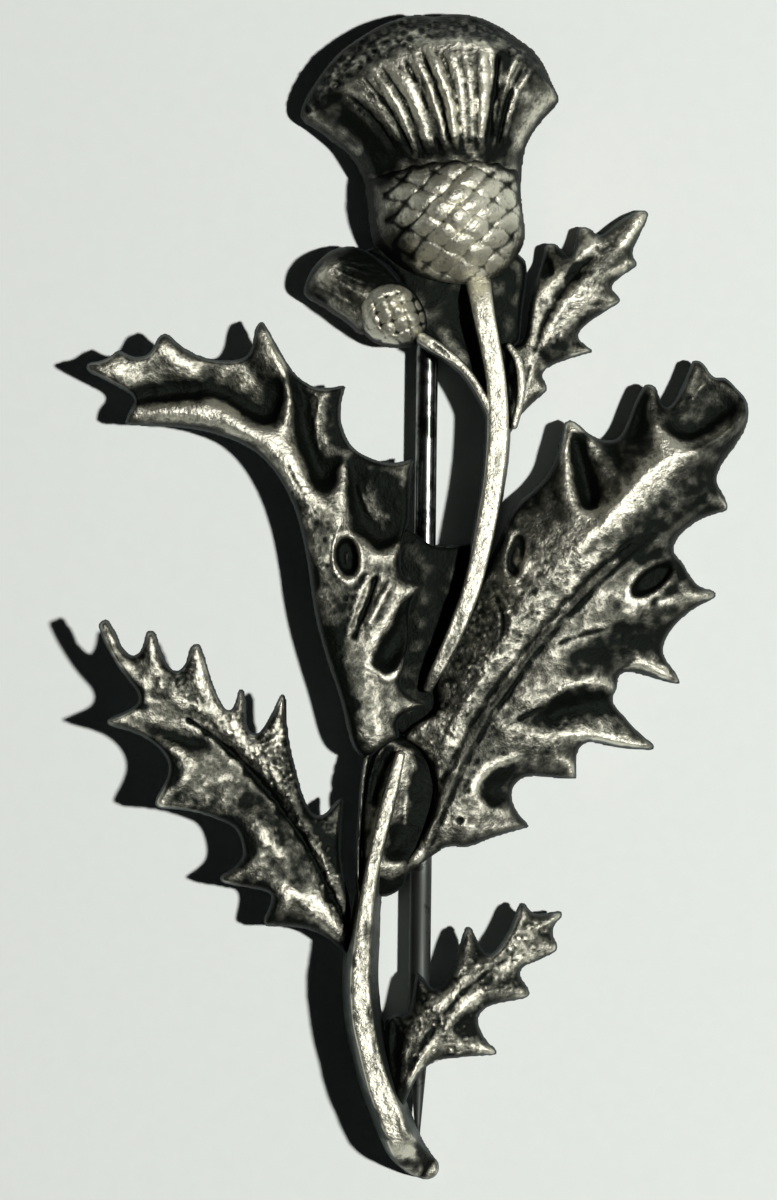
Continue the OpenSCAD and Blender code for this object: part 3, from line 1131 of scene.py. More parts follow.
class NodeBoard:
    """A material's node tree, with short ways to add to it."""

    MIX_SOCKETS = {"FLOAT": (2, 3, 0), "RGBA": (6, 7, 2)}

    def __init__(self, name: str) -> None:
        """Starts a material with one shader.

        Args:
            name: The material's name.
        """
        self.material = bpy.data.materials.new(name)
        self.material.use_nodes = True
        self.tree = self.material.node_tree
        self.shader = self.tree.nodes["Principled BSDF"]

    def add(self, kind: str) -> bpy.types.Node:
        """Adds a node of a kind."""
        return self.tree.nodes.new(kind)

    def join(self, source: object, target: Socket) -> None:
        """Links a socket to another, or sets a plain number or colour on it.

        Args:
            source: An output socket, a number or a colour.
            target: The input socket.
        """
        if isinstance(source, Socket):
            self.tree.links.new(source, target)
        elif isinstance(source, tuple):
            target.default_value = (*source, 1.0)
        else:
            target.default_value = source

    def noise(self, vector: Socket, scale: float, detail: float, rough: float) -> Socket:
        """Adds a noise pattern.

        Args:
            vector: Where the pattern reads its place.
            scale: Its scale in turns a metre.
            detail: How many finer patterns it holds.
            rough: How strong the finer ones are.

        Returns:
            The pattern's value socket.
        """
        node = self.add("ShaderNodeTexNoise")
        node.inputs["Scale"].default_value = scale
        node.inputs["Detail"].default_value = detail
        node.inputs["Roughness"].default_value = rough
        self.join(vector, node.inputs["Vector"])
        return node.outputs["Fac"]

    def mark(self, name: str) -> Socket:
        """Reads a number that the mesh keeps at its corners.

        Args:
            name: The name that the number is kept under.

        Returns:
            The number's socket.
        """
        node = self.add("ShaderNodeAttribute")
        node.attribute_name = name
        return node.outputs["Fac"]

    def math(self, kind: str, a: object, b: object, c: object = None) -> Socket:
        """Adds a sum of two or three numbers.

        Args:
            kind: The sum's kind.
            a: The first number or socket.
            b: The second.
            c: The third, for kinds that take three.

        Returns:
            The result's socket.
        """
        node = self.add("ShaderNodeMath")
        node.operation = kind
        for place, value in enumerate((a, b, c)):
            if value is not None:
                self.join(value, node.inputs[place])
        return node.outputs["Value"]

    def ramp(self, value: object, low: float, high: float) -> Socket:
        """Eases a number from 0 at low to 1 at high.

        Args:
            value: The number's socket.
            low: Where it starts to rise.
            high: Where it reaches 1.

        Returns:
            The eased number's socket.
        """
        node = self.add("ShaderNodeMapRange")
        node.interpolation_type = "SMOOTHSTEP"
        self.join(value, node.inputs["Value"])
        node.inputs["From Min"].default_value = low
        node.inputs["From Max"].default_value = high
        return node.outputs["Result"]

    def mix(self, kind: str, share: object, a: object, b: object) -> Socket:
        """Mixes two colours or two numbers.

        Args:
            kind: RGBA for colours, or FLOAT for numbers.
            share: How much of the second there is.
            a: The first colour, number or socket.
            b: The second.

        Returns:
            The mixture's socket.
        """
        node = self.add("ShaderNodeMix")
        node.data_type = kind
        first, second, result = self.MIX_SOCKETS[kind]
        self.join(share, node.inputs[0])
        self.join(a, node.inputs[first])
        self.join(b, node.inputs[second])
        return node.outputs[result]

    def emboss(self, height: Socket, strength: float, depth: float) -> None:
        """Gives the shader a fine relief.

        Args:
            height: The relief's socket.
            strength: How strongly it shows.
            depth: How deep it is.
        """
        bump = self.add("ShaderNodeBump")
        bump.inputs["Strength"].default_value = strength
        bump.inputs["Distance"].default_value = depth * MM
        self.join(height, bump.inputs["Height"])
        self.join(bump.outputs["Normal"], self.shader.inputs["Normal"])


UPPER_LEFT_OUTLINE: Chart = (
    (366, 762, 3.3), (350, 750, 3.7), (341, 705, 3.9), (329, 670, 3.8), (318, 635, 3.7), (311, 600, 3.6),
    (306, 560, 3.5), (298, 522, 3.5), (287, 494, 3.5), (274, 472, 3.5), (258, 455, 3.4), (238, 443, 3.3),
    (212, 434, 3.2), (185, 429, 3.15), (150, 427, 3.1), (122, 426, 3.8), (127, 410, 4.1), (136, 398, 4.1),
    (112, 385, 4.3), (84, 371, 4.0), (85, 361, 4.0), (104, 359, 4.0), (118, 347, 3.9), (132, 356, 4.0),
    (149, 354, 4.0), (157, 334, 3.9), (168, 331, 3.8), (180, 344, 3.8), (202, 356, 3.7), (228, 360, 3.6),
    (250, 355, 3.5), (253, 325, 3.4), (263, 318, 3.3), (274, 337, 3.4), (290, 366, 3.3), (303, 380, 3.2),
    (320, 388, 3.2), (348, 383, 3.2), (342, 402, 3.1), (342, 425, 3.0), (352, 447, 2.9), (375, 459, 2.9),
    (396, 462, 2.9), (417, 456, 2.9), (411, 480, 2.9), (411, 520, 2.9), (403, 545, 3.2), (401, 578, 3.3),
    (429, 584, 2.9), (410, 603, 3.1), (412, 640, 3.1), (407, 665, 3.2), (399, 690, 3.2), (434, 705, 2.8),
    (410, 713, 3.0), (397, 722, 3.1), (402, 738, 3.2), (385, 748, 3.3),
)
UPPER_LEFT_FOLDS: Charts = (
    ((124, 420, 3.6), (150, 409, 4.2), (178, 405, 4.35), (205, 404, 4.4), (222, 408, 4.4), (242, 419, 4.4),
     (260, 430, 4.4), (278, 440, 4.4), (292, 452, 4.4), (302, 470, 4.35), (311, 490, 4.3), (325, 505, 4.2),
     (332, 530, 4.1), (336, 560, 4.0), (347, 590, 4.1), (352, 615, 4.0), (359, 645, 4.0), (368, 680, 4.1),
     (376, 715, 4.1), (379, 745, 3.9)),
    ((145, 418, 4.0), (180, 416, 4.3), (215, 421, 4.4), (243, 434, 4.45), (263, 447, 4.45), (280, 465, 4.4),
     (293, 488, 4.35), (304, 515, 4.3), (314, 545, 4.3), (320, 575, 4.25), (325, 605, 4.2), (337, 640, 4.2),
     (349, 675, 4.3), (359, 715, 4.3), (366, 745, 4.0)),
    ((137, 399, 3.2), (160, 396, 3.0), (185, 394, 2.95), (205, 393, 3.0)),
    ((212, 380, 3.2), (218, 393, 2.9), (232, 402, 2.8), (247, 412, 2.7), (262, 419, 2.6), (273, 416, 2.7),
     (279, 402, 2.8), (281, 385, 3.0)),
    ((263, 322, 3.5), (271, 343, 3.9), (280, 362, 4.1), (286, 382, 4.25), (288, 402, 4.35), (284, 425, 4.4)),
    ((294, 378, 2.9), (299, 400, 2.75), (303, 425, 2.65), (309, 450, 2.6), (315, 472, 2.55), (323, 481, 2.6),
     (332, 474, 2.75), (337, 458, 2.9)),
    ((346, 386, 3.3), (322, 393, 3.3), (318, 420, 3.15), (320, 445, 3.0), (325, 465, 2.85)),
    ((340, 452, 3.2), (343, 470, 3.6), (346, 492, 3.9), (343, 515, 4.0), (336, 528, 4.1)),
    ((350, 462, 2.8), (352, 485, 2.65), (358, 510, 2.6), (367, 532, 2.55), (378, 543, 2.6), (390, 542, 2.6),
     (400, 533, 2.7), (406, 518, 2.8)),
    ((415, 459, 3.1), (385, 470, 3.1), (372, 485, 3.05), (368, 505, 2.9)),
    ((362, 540, 3.9), (372, 552, 3.9), (386, 554, 3.8), (398, 545, 3.7)),
    ((90, 366, 4.15), (112, 366, 4.3), (128, 372, 4.2), (140, 383, 3.8)),
    ((140, 362, 4.2), (163, 348, 4.2), (178, 362, 4.1), (196, 372, 3.8)),
    ((235, 370, 3.4), (250, 380, 3.3), (262, 392, 3.0)),
    ((385, 575, 4.0), (400, 590, 3.8), (426, 585, 3.1)),
    ((396, 612, 3.95), (382, 630, 4.0), (372, 648, 4.0), (371, 664, 3.95), (383, 677, 3.9), (396, 674, 3.8),
     (406, 660, 3.5)),
    ((383, 660, 2.9), (388, 645, 2.75), (398, 630, 2.7), (407, 614, 2.75)),
    ((391, 664, 2.95), (400, 650, 2.75), (407, 634, 2.75)),
    ((402, 660, 3.6), (392, 680, 3.7), (395, 705, 3.5), (432, 705, 3.0)),
)
UPPER_LEFT_STROKES: Strokes = (
    Stroke((378, 572, 370, 597, 360, 620, 353, 642), 0.28, -0.34),
    Stroke((370, 570, 361, 592, 353, 615, 347, 640), 0.3, 0.14),
    Stroke((393, 578, 384, 595, 374, 613, 366, 630), 0.4, 0.2),
    Stroke((294, 384, 298, 398, 303, 412), 0.25, 0.15), Stroke((320, 397, 316, 425, 320, 455), 0.2, 0.12),
    Stroke((357, 478, 363, 497, 371, 517), 0.2, 0.12), Stroke((398, 497, 396, 508), 0.18, 0.1),
    Stroke((284, 463, 295, 482, 307, 515), 0.14, -0.12, Side.SHARP),
    Stroke((343, 520, 336, 535, 333, 556, 335, 574), 0.14, 0.12), Stroke((347, 548, 347, 564), 0.1, 0.14),
)
UPPER_LEFT_DENTS: Dents = (
    Dent((347, 557), 1.3, 0.78, 95.0, 0.85, 0.1),
)

LOWER_LEFT_OUTLINE: Chart = (
    (350, 962, 2.4), (330, 941, 2.4), (310, 931, 2.5), (288, 928, 2.8), (266, 929, 3.6), (261, 922, 3.6),
    (271, 900, 4.0), (268, 893, 4.1), (245, 889, 4.1), (221, 885, 4.4), (217, 877, 4.4), (242, 861, 4.4),
    (241, 845, 4.5), (235, 829, 4.4), (218, 821, 4.5), (190, 812, 4.8), (156, 810, 5.1), (152, 802, 5.2),
    (168, 775, 5.2), (166, 758, 5.2), (150, 742, 5.2), (128, 732, 5.3), (106, 727, 5.4), (104, 719, 5.4),
    (136, 706, 5.4), (138, 695, 5.6), (128, 683, 5.8), (116, 667, 5.9), (103, 645, 5.7), (95, 623, 6.0),
    (107, 616, 6.0), (117, 632, 5.9), (124, 650, 5.6), (135, 656, 5.5), (142, 645, 5.6), (145, 629, 5.9),
    (156, 630, 5.9), (163, 655, 5.5), (173, 671, 5.2), (183, 668, 5.2), (189, 645, 5.5), (200, 641, 5.6),
    (206, 657, 5.4), (211, 676, 5.0), (220, 700, 4.7), (229, 712, 4.6), (235, 700, 4.7), (237, 688, 5.0),
    (245, 688, 4.9), (248, 706, 4.7), (247, 727, 4.4), (256, 735, 4.3), (266, 722, 4.4), (275, 703, 4.6),
    (280, 692, 4.7), (287, 694, 4.6), (287, 712, 4.5), (290, 742, 4.3), (297, 770, 4.0), (304, 797, 3.8),
    (313, 814, 3.5), (323, 815, 3.4), (333, 803, 3.4), (340, 797, 3.4), (345, 799, 3.4), (343, 820, 3.3),
    (341, 850, 3.2), (345, 880, 3.1), (353, 905, 3.2),
)
LOWER_LEFT_FOLDS: Charts = (
    ((150, 693, 5.4), (175, 704, 5.2), (200, 721, 4.9), (226, 745, 4.55), (256, 773, 4.2), (286, 811, 3.85),
     (302, 835, 3.65), (324, 880, 3.35), (345, 925, 3.05)),
    ((104, 626, 6.1), (118, 655, 5.8), (150, 684, 5.6), (178, 697, 5.4), (205, 711, 5.1), (232, 734, 4.85),
     (264, 765, 4.5), (292, 801, 4.2), (312, 838, 3.9), (332, 880, 3.6)),
    ((106, 722, 5.7), (130, 713, 5.5), (165, 713, 5.2), (190, 723, 5.0), (212, 737, 4.8)),
    ((232, 762, 4.6), (250, 782, 4.4), (264, 803, 4.3), (280, 826, 4.2), (292, 850, 4.1), (302, 874, 4.0),
     (320, 902, 3.9), (340, 930, 3.7)),
    ((150, 724, 5.1), (172, 736, 4.85), (198, 745, 4.65)),
    ((140, 722, 5.2), (160, 737, 5.0), (178, 750, 5.3), (190, 763, 5.35), (184, 777, 5.35), (170, 792, 5.3),
     (157, 805, 5.1)),
    ((175, 797, 5.1), (205, 786, 5.0), (232, 776, 4.8)),
    ((190, 807, 4.8), (222, 812, 4.6), (248, 817, 4.7), (262, 828, 4.8), (266, 840, 4.8), (260, 856, 4.7),
     (246, 870, 4.6), (224, 880, 4.3)),
    ((245, 882, 4.1), (268, 882, 4.35), (282, 890, 4.35), (288, 904, 4.3), (278, 914, 4.1), (267, 924, 3.5)),
    ((300, 912, 3.9), (318, 920, 3.8), (338, 936, 3.6)),
    ((150, 634, 6.0), (154, 660, 5.8), (165, 682, 5.6)),
    ((197, 643, 5.7), (198, 668, 5.5), (203, 695, 5.3)),
    ((241, 692, 5.1), (238, 712, 4.9), (236, 728, 4.9)),
    ((283, 698, 4.8), (276, 730, 4.7), (272, 755, 4.6)),
)
LOWER_LEFT_STROKES: Strokes = (
    Stroke((184, 716, 215, 738, 255, 776, 300, 835, 325, 882, 346, 925), 0.22, -0.3, Side.SHARP),
    Stroke((150, 695, 170, 704, 190, 716), 0.14, -0.08, Side.SHARP),
    Stroke((262, 835, 275, 848, 285, 862), 0.6, 0.1), Stroke((285, 885, 302, 898, 318, 912), 0.6, 0.1),
    Stroke((265, 755, 270, 775, 278, 795), 0.16, -0.1, Side.SHARP),
    Stroke((320, 850, 326, 868, 330, 885), 0.16, 0.12), Stroke((305, 835, 315, 850, 325, 862), 0.18, 0.1),
)


RIGHT_OUTLINE: Chart = (
    (396, 884, 2.6), (412, 872, 2.6), (434, 857, 2.5), (450, 846, 2.4), (466, 851, 2.2), (495, 838, 1.7),
    (533, 828, 1.3), (518, 812, 1.3), (512, 797, 1.3), (516, 783, 1.2), (530, 777, 1.2), (550, 779, 1.2),
    (579, 781, 1.1), (577, 762, 1.1), (580, 748, 1.1), (592, 742, 1.1), (620, 750, 1.0), (655, 752, 0.9),
    (657, 745, 0.9), (640, 732, 1.0), (622, 712, 1.1), (612, 700, 1.2), (619, 690, 1.2), (620, 673, 1.2),
    (640, 674, 1.0), (665, 683, 0.8), (684, 687, 0.7), (678, 672, 0.9), (663, 655, 1.1), (668, 635, 1.1),
    (690, 612, 1.0), (717, 599, 0.9), (718, 590, 0.9), (700, 586, 1.1), (691, 575, 1.2), (685, 562, 1.3),
    (674, 552, 1.4), (678, 538, 1.4), (700, 520, 1.3), (731, 511, 1.1), (727, 496, 1.2), (717, 482, 1.4),
    (722, 466, 1.6), (737, 447, 1.9), (750, 425, 2.1), (751, 402, 2.3), (740, 388, 2.4), (726, 375, 2.3),
    (714, 377, 2.3), (705, 360, 2.2), (692, 357, 2.1), (684, 380, 2.2), (672, 405, 2.4), (664, 406, 2.5),
    (657, 384, 2.3), (645, 381, 2.2), (634, 400, 2.2), (622, 435, 2.2), (608, 441, 2.3), (590, 433, 2.2),
    (574, 418, 2.1), (563, 420, 2.1), (556, 455, 2.1), (543, 480, 2.2), (512, 506, 2.5), (498, 540, 2.7),
    (470, 600, 2.9), (440, 650, 2.9), (430, 690, 2.9), (438, 708, 3.0), (405, 727, 3.0), (400, 740, 3.1),
    (420, 750, 3.1), (432, 770, 3.2), (436, 793, 3.2), (428, 820, 3.1), (412, 850, 2.9), (395, 868, 2.8),
)
RIGHT_FOLDS: Charts = (
    ((415, 862, 3.2), (430, 833, 3.3), (445, 800, 3.4), (460, 765, 3.5), (474, 735, 3.5), (490, 704, 3.6),
     (515, 667, 3.7), (540, 637, 3.8), (562, 612, 3.85), (584, 590, 3.85), (606, 570, 3.8), (628, 549, 3.7),
     (652, 528, 3.5), (680, 506, 3.1), (705, 490, 2.6)),
    ((445, 745, 3.7), (462, 712, 3.9), (482, 675, 4.1), (503, 640, 4.2), (527, 605, 4.35), (552, 575, 4.5),
     (578, 547, 4.6), (603, 522, 4.65), (626, 497, 4.6), (646, 475, 4.5), (668, 458, 4.3), (690, 452, 4.1),
     (715, 441, 3.7), (738, 422, 3.1), (748, 405, 2.7)),
    ((568, 423, 2.7), (565, 450, 3.1), (567, 480, 3.5), (574, 503, 3.9), (588, 519, 4.3)),
    ((572, 424, 2.7), (588, 440, 2.9), (598, 460, 3.1), (604, 482, 3.5), (605, 502, 4.0), (594, 518, 4.3)),
    ((574, 440, 2.4), (581, 462, 2.3), (587, 485, 2.3), (590, 504, 2.5)),
    ((651, 386, 2.6), (652, 410, 3.0), (656, 432, 3.5), (664, 450, 4.0)),
    ((612, 446, 2.5), (618, 465, 3.2), (622, 482, 4.0)),
    ((636, 436, 2.4), (642, 415, 2.3), (645, 395, 2.3)),
    ((655, 415, 3.0), (660, 430, 3.4), (670, 441, 3.8), (682, 449, 4.0)),
    ((672, 430, 2.5), (692, 434, 2.3), (712, 422, 2.1), (730, 408, 2.1)),
    ((676, 412, 2.4), (700, 398, 2.2), (718, 390, 2.1)),
    ((655, 545, 3.2), (675, 528, 2.6), (700, 512, 1.9)),
    ((728, 509, 1.5), (712, 498, 2.0), (700, 492, 2.4)),
    ((600, 596, 3.8), (622, 585, 3.4), (640, 568, 3.1), (660, 552, 2.5)),
    ((716, 594, 1.2), (700, 594, 1.6), (680, 598, 2.2), (655, 606, 2.7), (628, 612, 3.2), (600, 620, 3.6)),
    ((550, 645, 4.0), (575, 637, 3.8), (608, 632, 3.3), (640, 640, 2.2), (655, 655, 1.6)),
    ((560, 665, 3.8), (590, 655, 3.4), (615, 655, 2.7), (640, 664, 2.0), (683, 684, 1.0)),
    ((520, 700, 3.9), (545, 697, 3.7), (575, 683, 3.4), (600, 683, 2.9), (614, 690, 2.0)),
    ((548, 716, 2.5), (568, 708, 2.2), (590, 703, 1.9), (606, 702, 1.5)),
    ((500, 727, 3.8), (525, 733, 3.5), (550, 735, 3.1), (580, 736, 2.6), (610, 740, 2.0), (654, 748, 1.2)),
    ((488, 806, 3.0), (479, 800, 3.3), (476, 788, 3.5), (481, 777, 3.5), (493, 767, 3.4), (513, 758, 3.2),
     (535, 756, 2.7), (556, 757, 2.3), (570, 765, 1.9), (577, 778, 1.5)),
    ((487, 797, 2.1), (488, 787, 2.1), (497, 777, 2.2), (512, 768, 2.2)),
    ((497, 802, 1.9), (502, 792, 1.7)),
    ((455, 800, 3.5), (462, 825, 3.3), (480, 832, 2.8), (505, 828, 2.2), (531, 828, 1.6)),
    ((470, 795, 3.5), (487, 807, 2.9), (505, 812, 2.2)),
    ((520, 560, 4.0), (515, 590, 4.0), (495, 630, 3.9), (475, 660, 3.8)),
    ((505, 515, 3.1), (508, 545, 3.4), (520, 580, 3.7)),
    ((415, 725, 3.4), (430, 720, 3.5), (450, 715, 3.7)),
    ((438, 770, 3.5), (436, 800, 3.4), (425, 835, 3.3)),
)
RIGHT_STROKES: Strokes = (
    Stroke((422, 850, 437, 812, 451, 780, 468, 745, 487, 712, 515, 672, 552, 624, 598, 577, 640, 542),
           0.34, 0.14, Side.FLAT),
    Stroke((432, 846, 444, 815, 458, 783, 475, 748, 494, 716, 521, 677, 557, 630, 602, 583, 642, 547),
           0.13, -0.14, Side.SHARP),
    Stroke((417, 840, 430, 808, 444, 776, 461, 742, 480, 708, 508, 668, 546, 619, 593, 572, 636, 537),
           0.12, -0.08, Side.SHARP),
    Stroke((553, 646, 578, 636, 612, 628), 0.2, -0.14, Side.SHARP),
    Stroke((500, 731, 522, 717, 546, 706), 0.2, -0.14, Side.SHARP),
    Stroke((545, 701, 575, 684, 612, 686), 0.16, 0.14),
    Stroke((505, 645, 511, 630, 509, 612, 502, 596), 0.18, 0.08),
    Stroke((497, 645, 503, 628, 500, 608, 494, 592), 0.18, -0.12),
    Stroke((506, 568, 516, 580, 526, 568), 0.14, 0.14), Stroke((708, 380, 699, 390, 690, 404), 0.12, 0.14),
    Stroke((620, 670, 645, 665, 680, 684), 0.2, 0.12), Stroke((590, 742, 620, 743, 652, 749), 0.22, 0.12),
)
RIGHT_DENTS: Dents = (
    Dent((653, 579), 1.65, 0.75, 36.0, 0.9, 0.0), Dent((516, 556), 1.5, 0.6, 80.0, 0.45, 0.0),
    Dent((460, 821), 0.3, 0.25, 20.0, 0.14, 0.06),
)

UPPER_RIGHT_OUTLINE: Chart = (
    (508, 442, 2.0), (520, 418, 1.9), (532, 405, 1.7), (549, 391, 1.3), (548, 384, 1.3), (542, 374, 1.4),
    (552, 366, 1.3), (575, 358, 1.2), (597, 352, 1.1), (588, 345, 1.2), (577, 336, 1.3), (588, 324, 1.2),
    (605, 313, 1.1), (623, 302, 1.1), (620, 295, 1.1), (611, 287, 1.2), (622, 277, 1.1), (641, 265, 1.0),
    (632, 253, 1.2), (640, 238, 1.2), (651, 215, 1.2), (648, 208, 1.2), (634, 209, 1.2), (615, 222, 1.3),
    (600, 236, 1.3), (591, 226, 1.3), (578, 224, 1.3), (574, 240, 1.3), (572, 258, 1.5), (564, 250, 1.4),
    (556, 241, 1.3), (544, 242, 1.3), (541, 262, 1.4), (537, 272, 2.0), (528, 305, 2.3), (525, 343, 2.3),
    (508, 345, 2.1), (503, 380, 2.2), (504, 420, 2.2),
)
UPPER_RIGHT_FOLDS: Charts = (
    ((516, 425, 2.5), (521, 405, 2.4), (526, 385, 2.3), (533, 360, 2.3), (541, 335, 2.33), (552, 308, 2.34),
     (566, 285, 2.3), (582, 266, 2.2), (600, 251, 2.0), (618, 240, 1.75)),
    ((530, 345, 2.45), (531, 320, 2.5), (537, 299, 2.5), (548, 283, 2.5), (563, 267, 2.45), (580, 251, 2.3),
     (598, 239, 2.0)),
    ((540, 345, 2.5), (552, 322, 2.7), (565, 303, 2.75), (580, 287, 2.65), (598, 268, 2.4), (618, 250, 2.1),
     (640, 218, 1.6)),
    ((596, 352, 1.4), (570, 352, 1.8), (548, 352, 2.2)),
    ((622, 302, 1.4), (602, 300, 1.9), (585, 300, 2.4)),
    ((639, 265, 1.3), (620, 265, 1.7), (603, 270, 2.2)),
    ((548, 388, 1.7), (535, 388, 2.1)),
    ((549, 245, 1.6), (556, 262, 2.1), (560, 275, 2.5)),
    ((583, 228, 1.6), (588, 245, 2.0)),
    ((548, 283, 2.3), (543, 272, 1.5), (548, 262, 1.3), (552, 275, 1.6)),
)
UPPER_RIGHT_STROKES: Strokes = (
    Stroke((520, 415, 526, 385, 537, 345, 552, 308, 582, 266, 620, 238), 0.13, -0.1, Side.SHARP),
    Stroke((560, 330, 575, 315, 590, 302), 0.5, 0.1), Stroke((585, 305, 598, 303, 610, 302), 0.3, -0.1),
    Stroke((572, 280, 584, 272, 600, 270), 0.3, -0.1),
)

LOWER_RIGHT_OUTLINE: Chart = (
    (404, 1112, 3.4), (412, 1090, 3.4), (422, 1072, 3.3), (437, 1062, 3.2), (455, 1060, 2.9),
    (475, 1058, 2.7), (498, 1057, 2.4), (499, 1050, 2.4), (488, 1042, 2.6), (479, 1025, 2.7),
    (481, 1012, 2.7), (497, 1005, 2.6), (518, 1002, 2.4), (532, 998, 2.3), (530, 988, 2.4),
    (521, 977, 2.5), (523, 968, 2.5), (540, 962, 2.4), (559, 952, 2.4), (559, 944, 2.4), (553, 934, 2.5),
    (556, 925, 2.5), (565, 917, 2.4), (562, 909, 2.4), (545, 913, 2.6), (533, 913, 2.7), (526, 902, 2.7),
    (518, 902, 2.7), (511, 925, 2.8), (497, 948, 2.9), (488, 955, 2.9), (480, 945, 2.9), (473, 927, 2.9),
    (465, 925, 2.9), (458, 945, 3.0), (455, 965, 3.1), (443, 985, 3.2), (434, 990, 3.2), (425, 978, 3.2),
    (416, 969, 3.2), (412, 990, 3.3), (409, 1015, 3.3), (395, 1012, 3.3), (384, 1020, 3.3),
    (384, 1050, 3.4), (388, 1080, 3.6), (393, 1105, 3.7),
)
LOWER_RIGHT_FOLDS: Charts = (
    ((398, 1095, 4.1), (412, 1062, 4.02), (428, 1037, 4.02), (447, 1012, 3.97), (468, 988, 3.8),
     (490, 970, 3.58), (510, 955, 3.36), (532, 940, 3.1)),
    ((408, 1085, 4.2), (422, 1058, 4.1), (438, 1036, 4.1), (456, 1016, 4.05), (477, 996, 3.85),
     (497, 981, 3.65), (520, 962, 3.35), (545, 945, 3.0)),
    ((400, 1060, 3.9), (412, 1035, 3.95), (425, 1015, 4.0), (443, 1000, 4.05), (462, 980, 3.9),
     (485, 963, 3.6), (508, 940, 3.35), (521, 912, 3.1)),
    ((497, 1053, 2.8), (478, 1045, 3.1), (450, 1040, 3.7)),
    ((470, 1012, 3.3), (462, 1028, 3.35)),
    ((529, 994, 2.7), (510, 992, 3.1), (488, 990, 3.7)),
    ((557, 948, 2.7), (540, 950, 3.0)),
    ((468, 930, 3.2), (464, 955, 3.5), (455, 975, 3.8)),
    ((562, 914, 2.7), (545, 925, 3.0), (530, 930, 3.2)),
    ((395, 1030, 2.9), (393, 1060, 3.0), (395, 1085, 3.4)),
)
LOWER_RIGHT_STROKES: Strokes = (
    Stroke((400, 1090, 416, 1055, 440, 1020, 470, 986, 510, 956), 0.13, -0.1, Side.SHARP),
    Stroke((408, 1088, 420, 1060, 432, 1045), 0.16, 0.12), Stroke((390, 1018, 393, 1045), 0.15, 0.1),
)

SHEATH_OUTLINE: Chart = (
    (362, 792, 3.0), (368, 765, 3.1), (376, 745, 3.1), (392, 734, 2.8), (408, 734, 2.5), (424, 748, 2.3),
    (437, 765, 2.3), (440, 790, 2.4), (432, 825, 2.6), (420, 850, 2.8), (408, 872, 2.8), (404, 890, 2.5),
    (385, 900, 2.4), (368, 893, 2.6), (362, 870, 3.0), (359, 830, 3.0),
)
SHEATH_FOLDS: Charts = (
    ((364, 800, 3.3), (369, 768, 3.5), (378, 750, 3.4), (390, 742, 3.1)),
    ((372, 800, 2.7), (376, 775, 2.6), (384, 757, 2.7), (394, 750, 3.0)),
    ((403, 752, 3.3), (394, 780, 3.7), (383, 812, 3.9), (374, 842, 4.1), (367, 872, 4.2)),
    ((414, 758, 3.1), (413, 785, 3.1), (407, 812, 2.9), (398, 838, 2.7), (394, 852, 2.8)),
    ((424, 800, 2.6), (424, 818, 2.55), (414, 838, 2.6), (402, 850, 2.8)),
    ((374, 872, 3.7), (388, 866, 3.6), (404, 864, 3.4)),
    ((376, 886, 2.8), (388, 887, 2.7), (399, 884, 2.7)),
)
SHEATH_STROKES: Strokes = (
    Stroke((401, 754, 392, 781, 381, 811, 373, 840, 367, 868), 0.32, 0.25),
    Stroke((382, 752, 376, 775), 0.12, 0.14), Stroke((406, 796, 405, 826), 0.12, 0.14),
)

UPPER_WEB_OUTLINE: Chart = (
    (402, 285, 2.4), (400, 310, 2.4), (425, 345, 2.5), (455, 372, 2.5), (480, 400, 2.6), (492, 418, 2.6),
    (505, 400, 2.6), (510, 350, 2.2), (522, 343, 2.0), (524, 310, 1.9), (530, 272, 1.8), (526, 255, 1.9),
    (500, 240, 2.4), (430, 240, 2.4), (385, 240, 2.4), (360, 250, 2.4), (385, 265, 2.4),
)
UPPER_WEB_FOLDS: Charts = (
    ((410, 300, 2.7), (440, 330, 2.7), (465, 360, 2.8)),
    ((455, 310, 2.2), (470, 345, 2.2), (485, 385, 2.4)),
    ((500, 300, 2.2), (508, 330, 2.2)),
    ((522, 265, 2.1), (517, 300, 2.1), (515, 335, 2.1)),
)

LOWER_WEB_OUTLINE: Chart = (
    (391, 545, 2.3), (396, 522, 2.4), (415, 530, 2.5), (432, 545, 2.5), (445, 545, 2.5), (470, 540, 2.5),
    (490, 560, 2.5), (478, 600, 2.5), (462, 640, 2.5), (450, 700, 2.5), (442, 728, 2.5), (415, 742, 2.5),
    (390, 733, 2.4), (389, 705, 2.4), (391, 660, 2.4), (391, 600, 2.3),
)
LOWER_WEB_FOLDS: Charts = (((420, 560, 2.5), (425, 600, 2.5), (418, 650, 2.5)),)

MAIN_STEM: Chart = (
    (476, 262, 2.7, 0.8, 1.9), (478, 280, 3.1, 0.86, 1.9), (481, 297, 3.8, 0.86, 1.8),
    (485, 320, 4.1, 0.84, 1.7), (490, 345, 4.1, 0.82, 1.5), (496, 380, 4.0, 0.8, 1.4),
    (498, 415, 4.0, 0.84, 1.3), (497, 450, 4.0, 0.84, 1.3), (493, 485, 4.05, 0.8, 1.4),
    (487, 520, 4.1, 0.78, 1.6), (480, 555, 4.15, 0.74, 1.8), (471, 590, 4.15, 0.7, 2.1),
    (460, 620, 4.1, 0.66, 2.2), (448, 648, 4.0, 0.6, 2.2), (436, 672, 3.8, 0.5, 2.2),
    (428, 688, 3.4, 0.4, 2.2),
)
BUD_STEM: Chart = (
    (422, 338, 3.7, 0.48, 2.1), (436, 347, 3.9, 0.52, 2.0), (452, 358, 3.9, 0.46, 1.9),
    (466, 371, 3.9, 0.42, 1.8), (478, 388, 3.9, 0.42, 1.7), (487, 405, 3.95, 0.42, 1.6),
    (493, 422, 3.9, 0.4, 1.6),
)
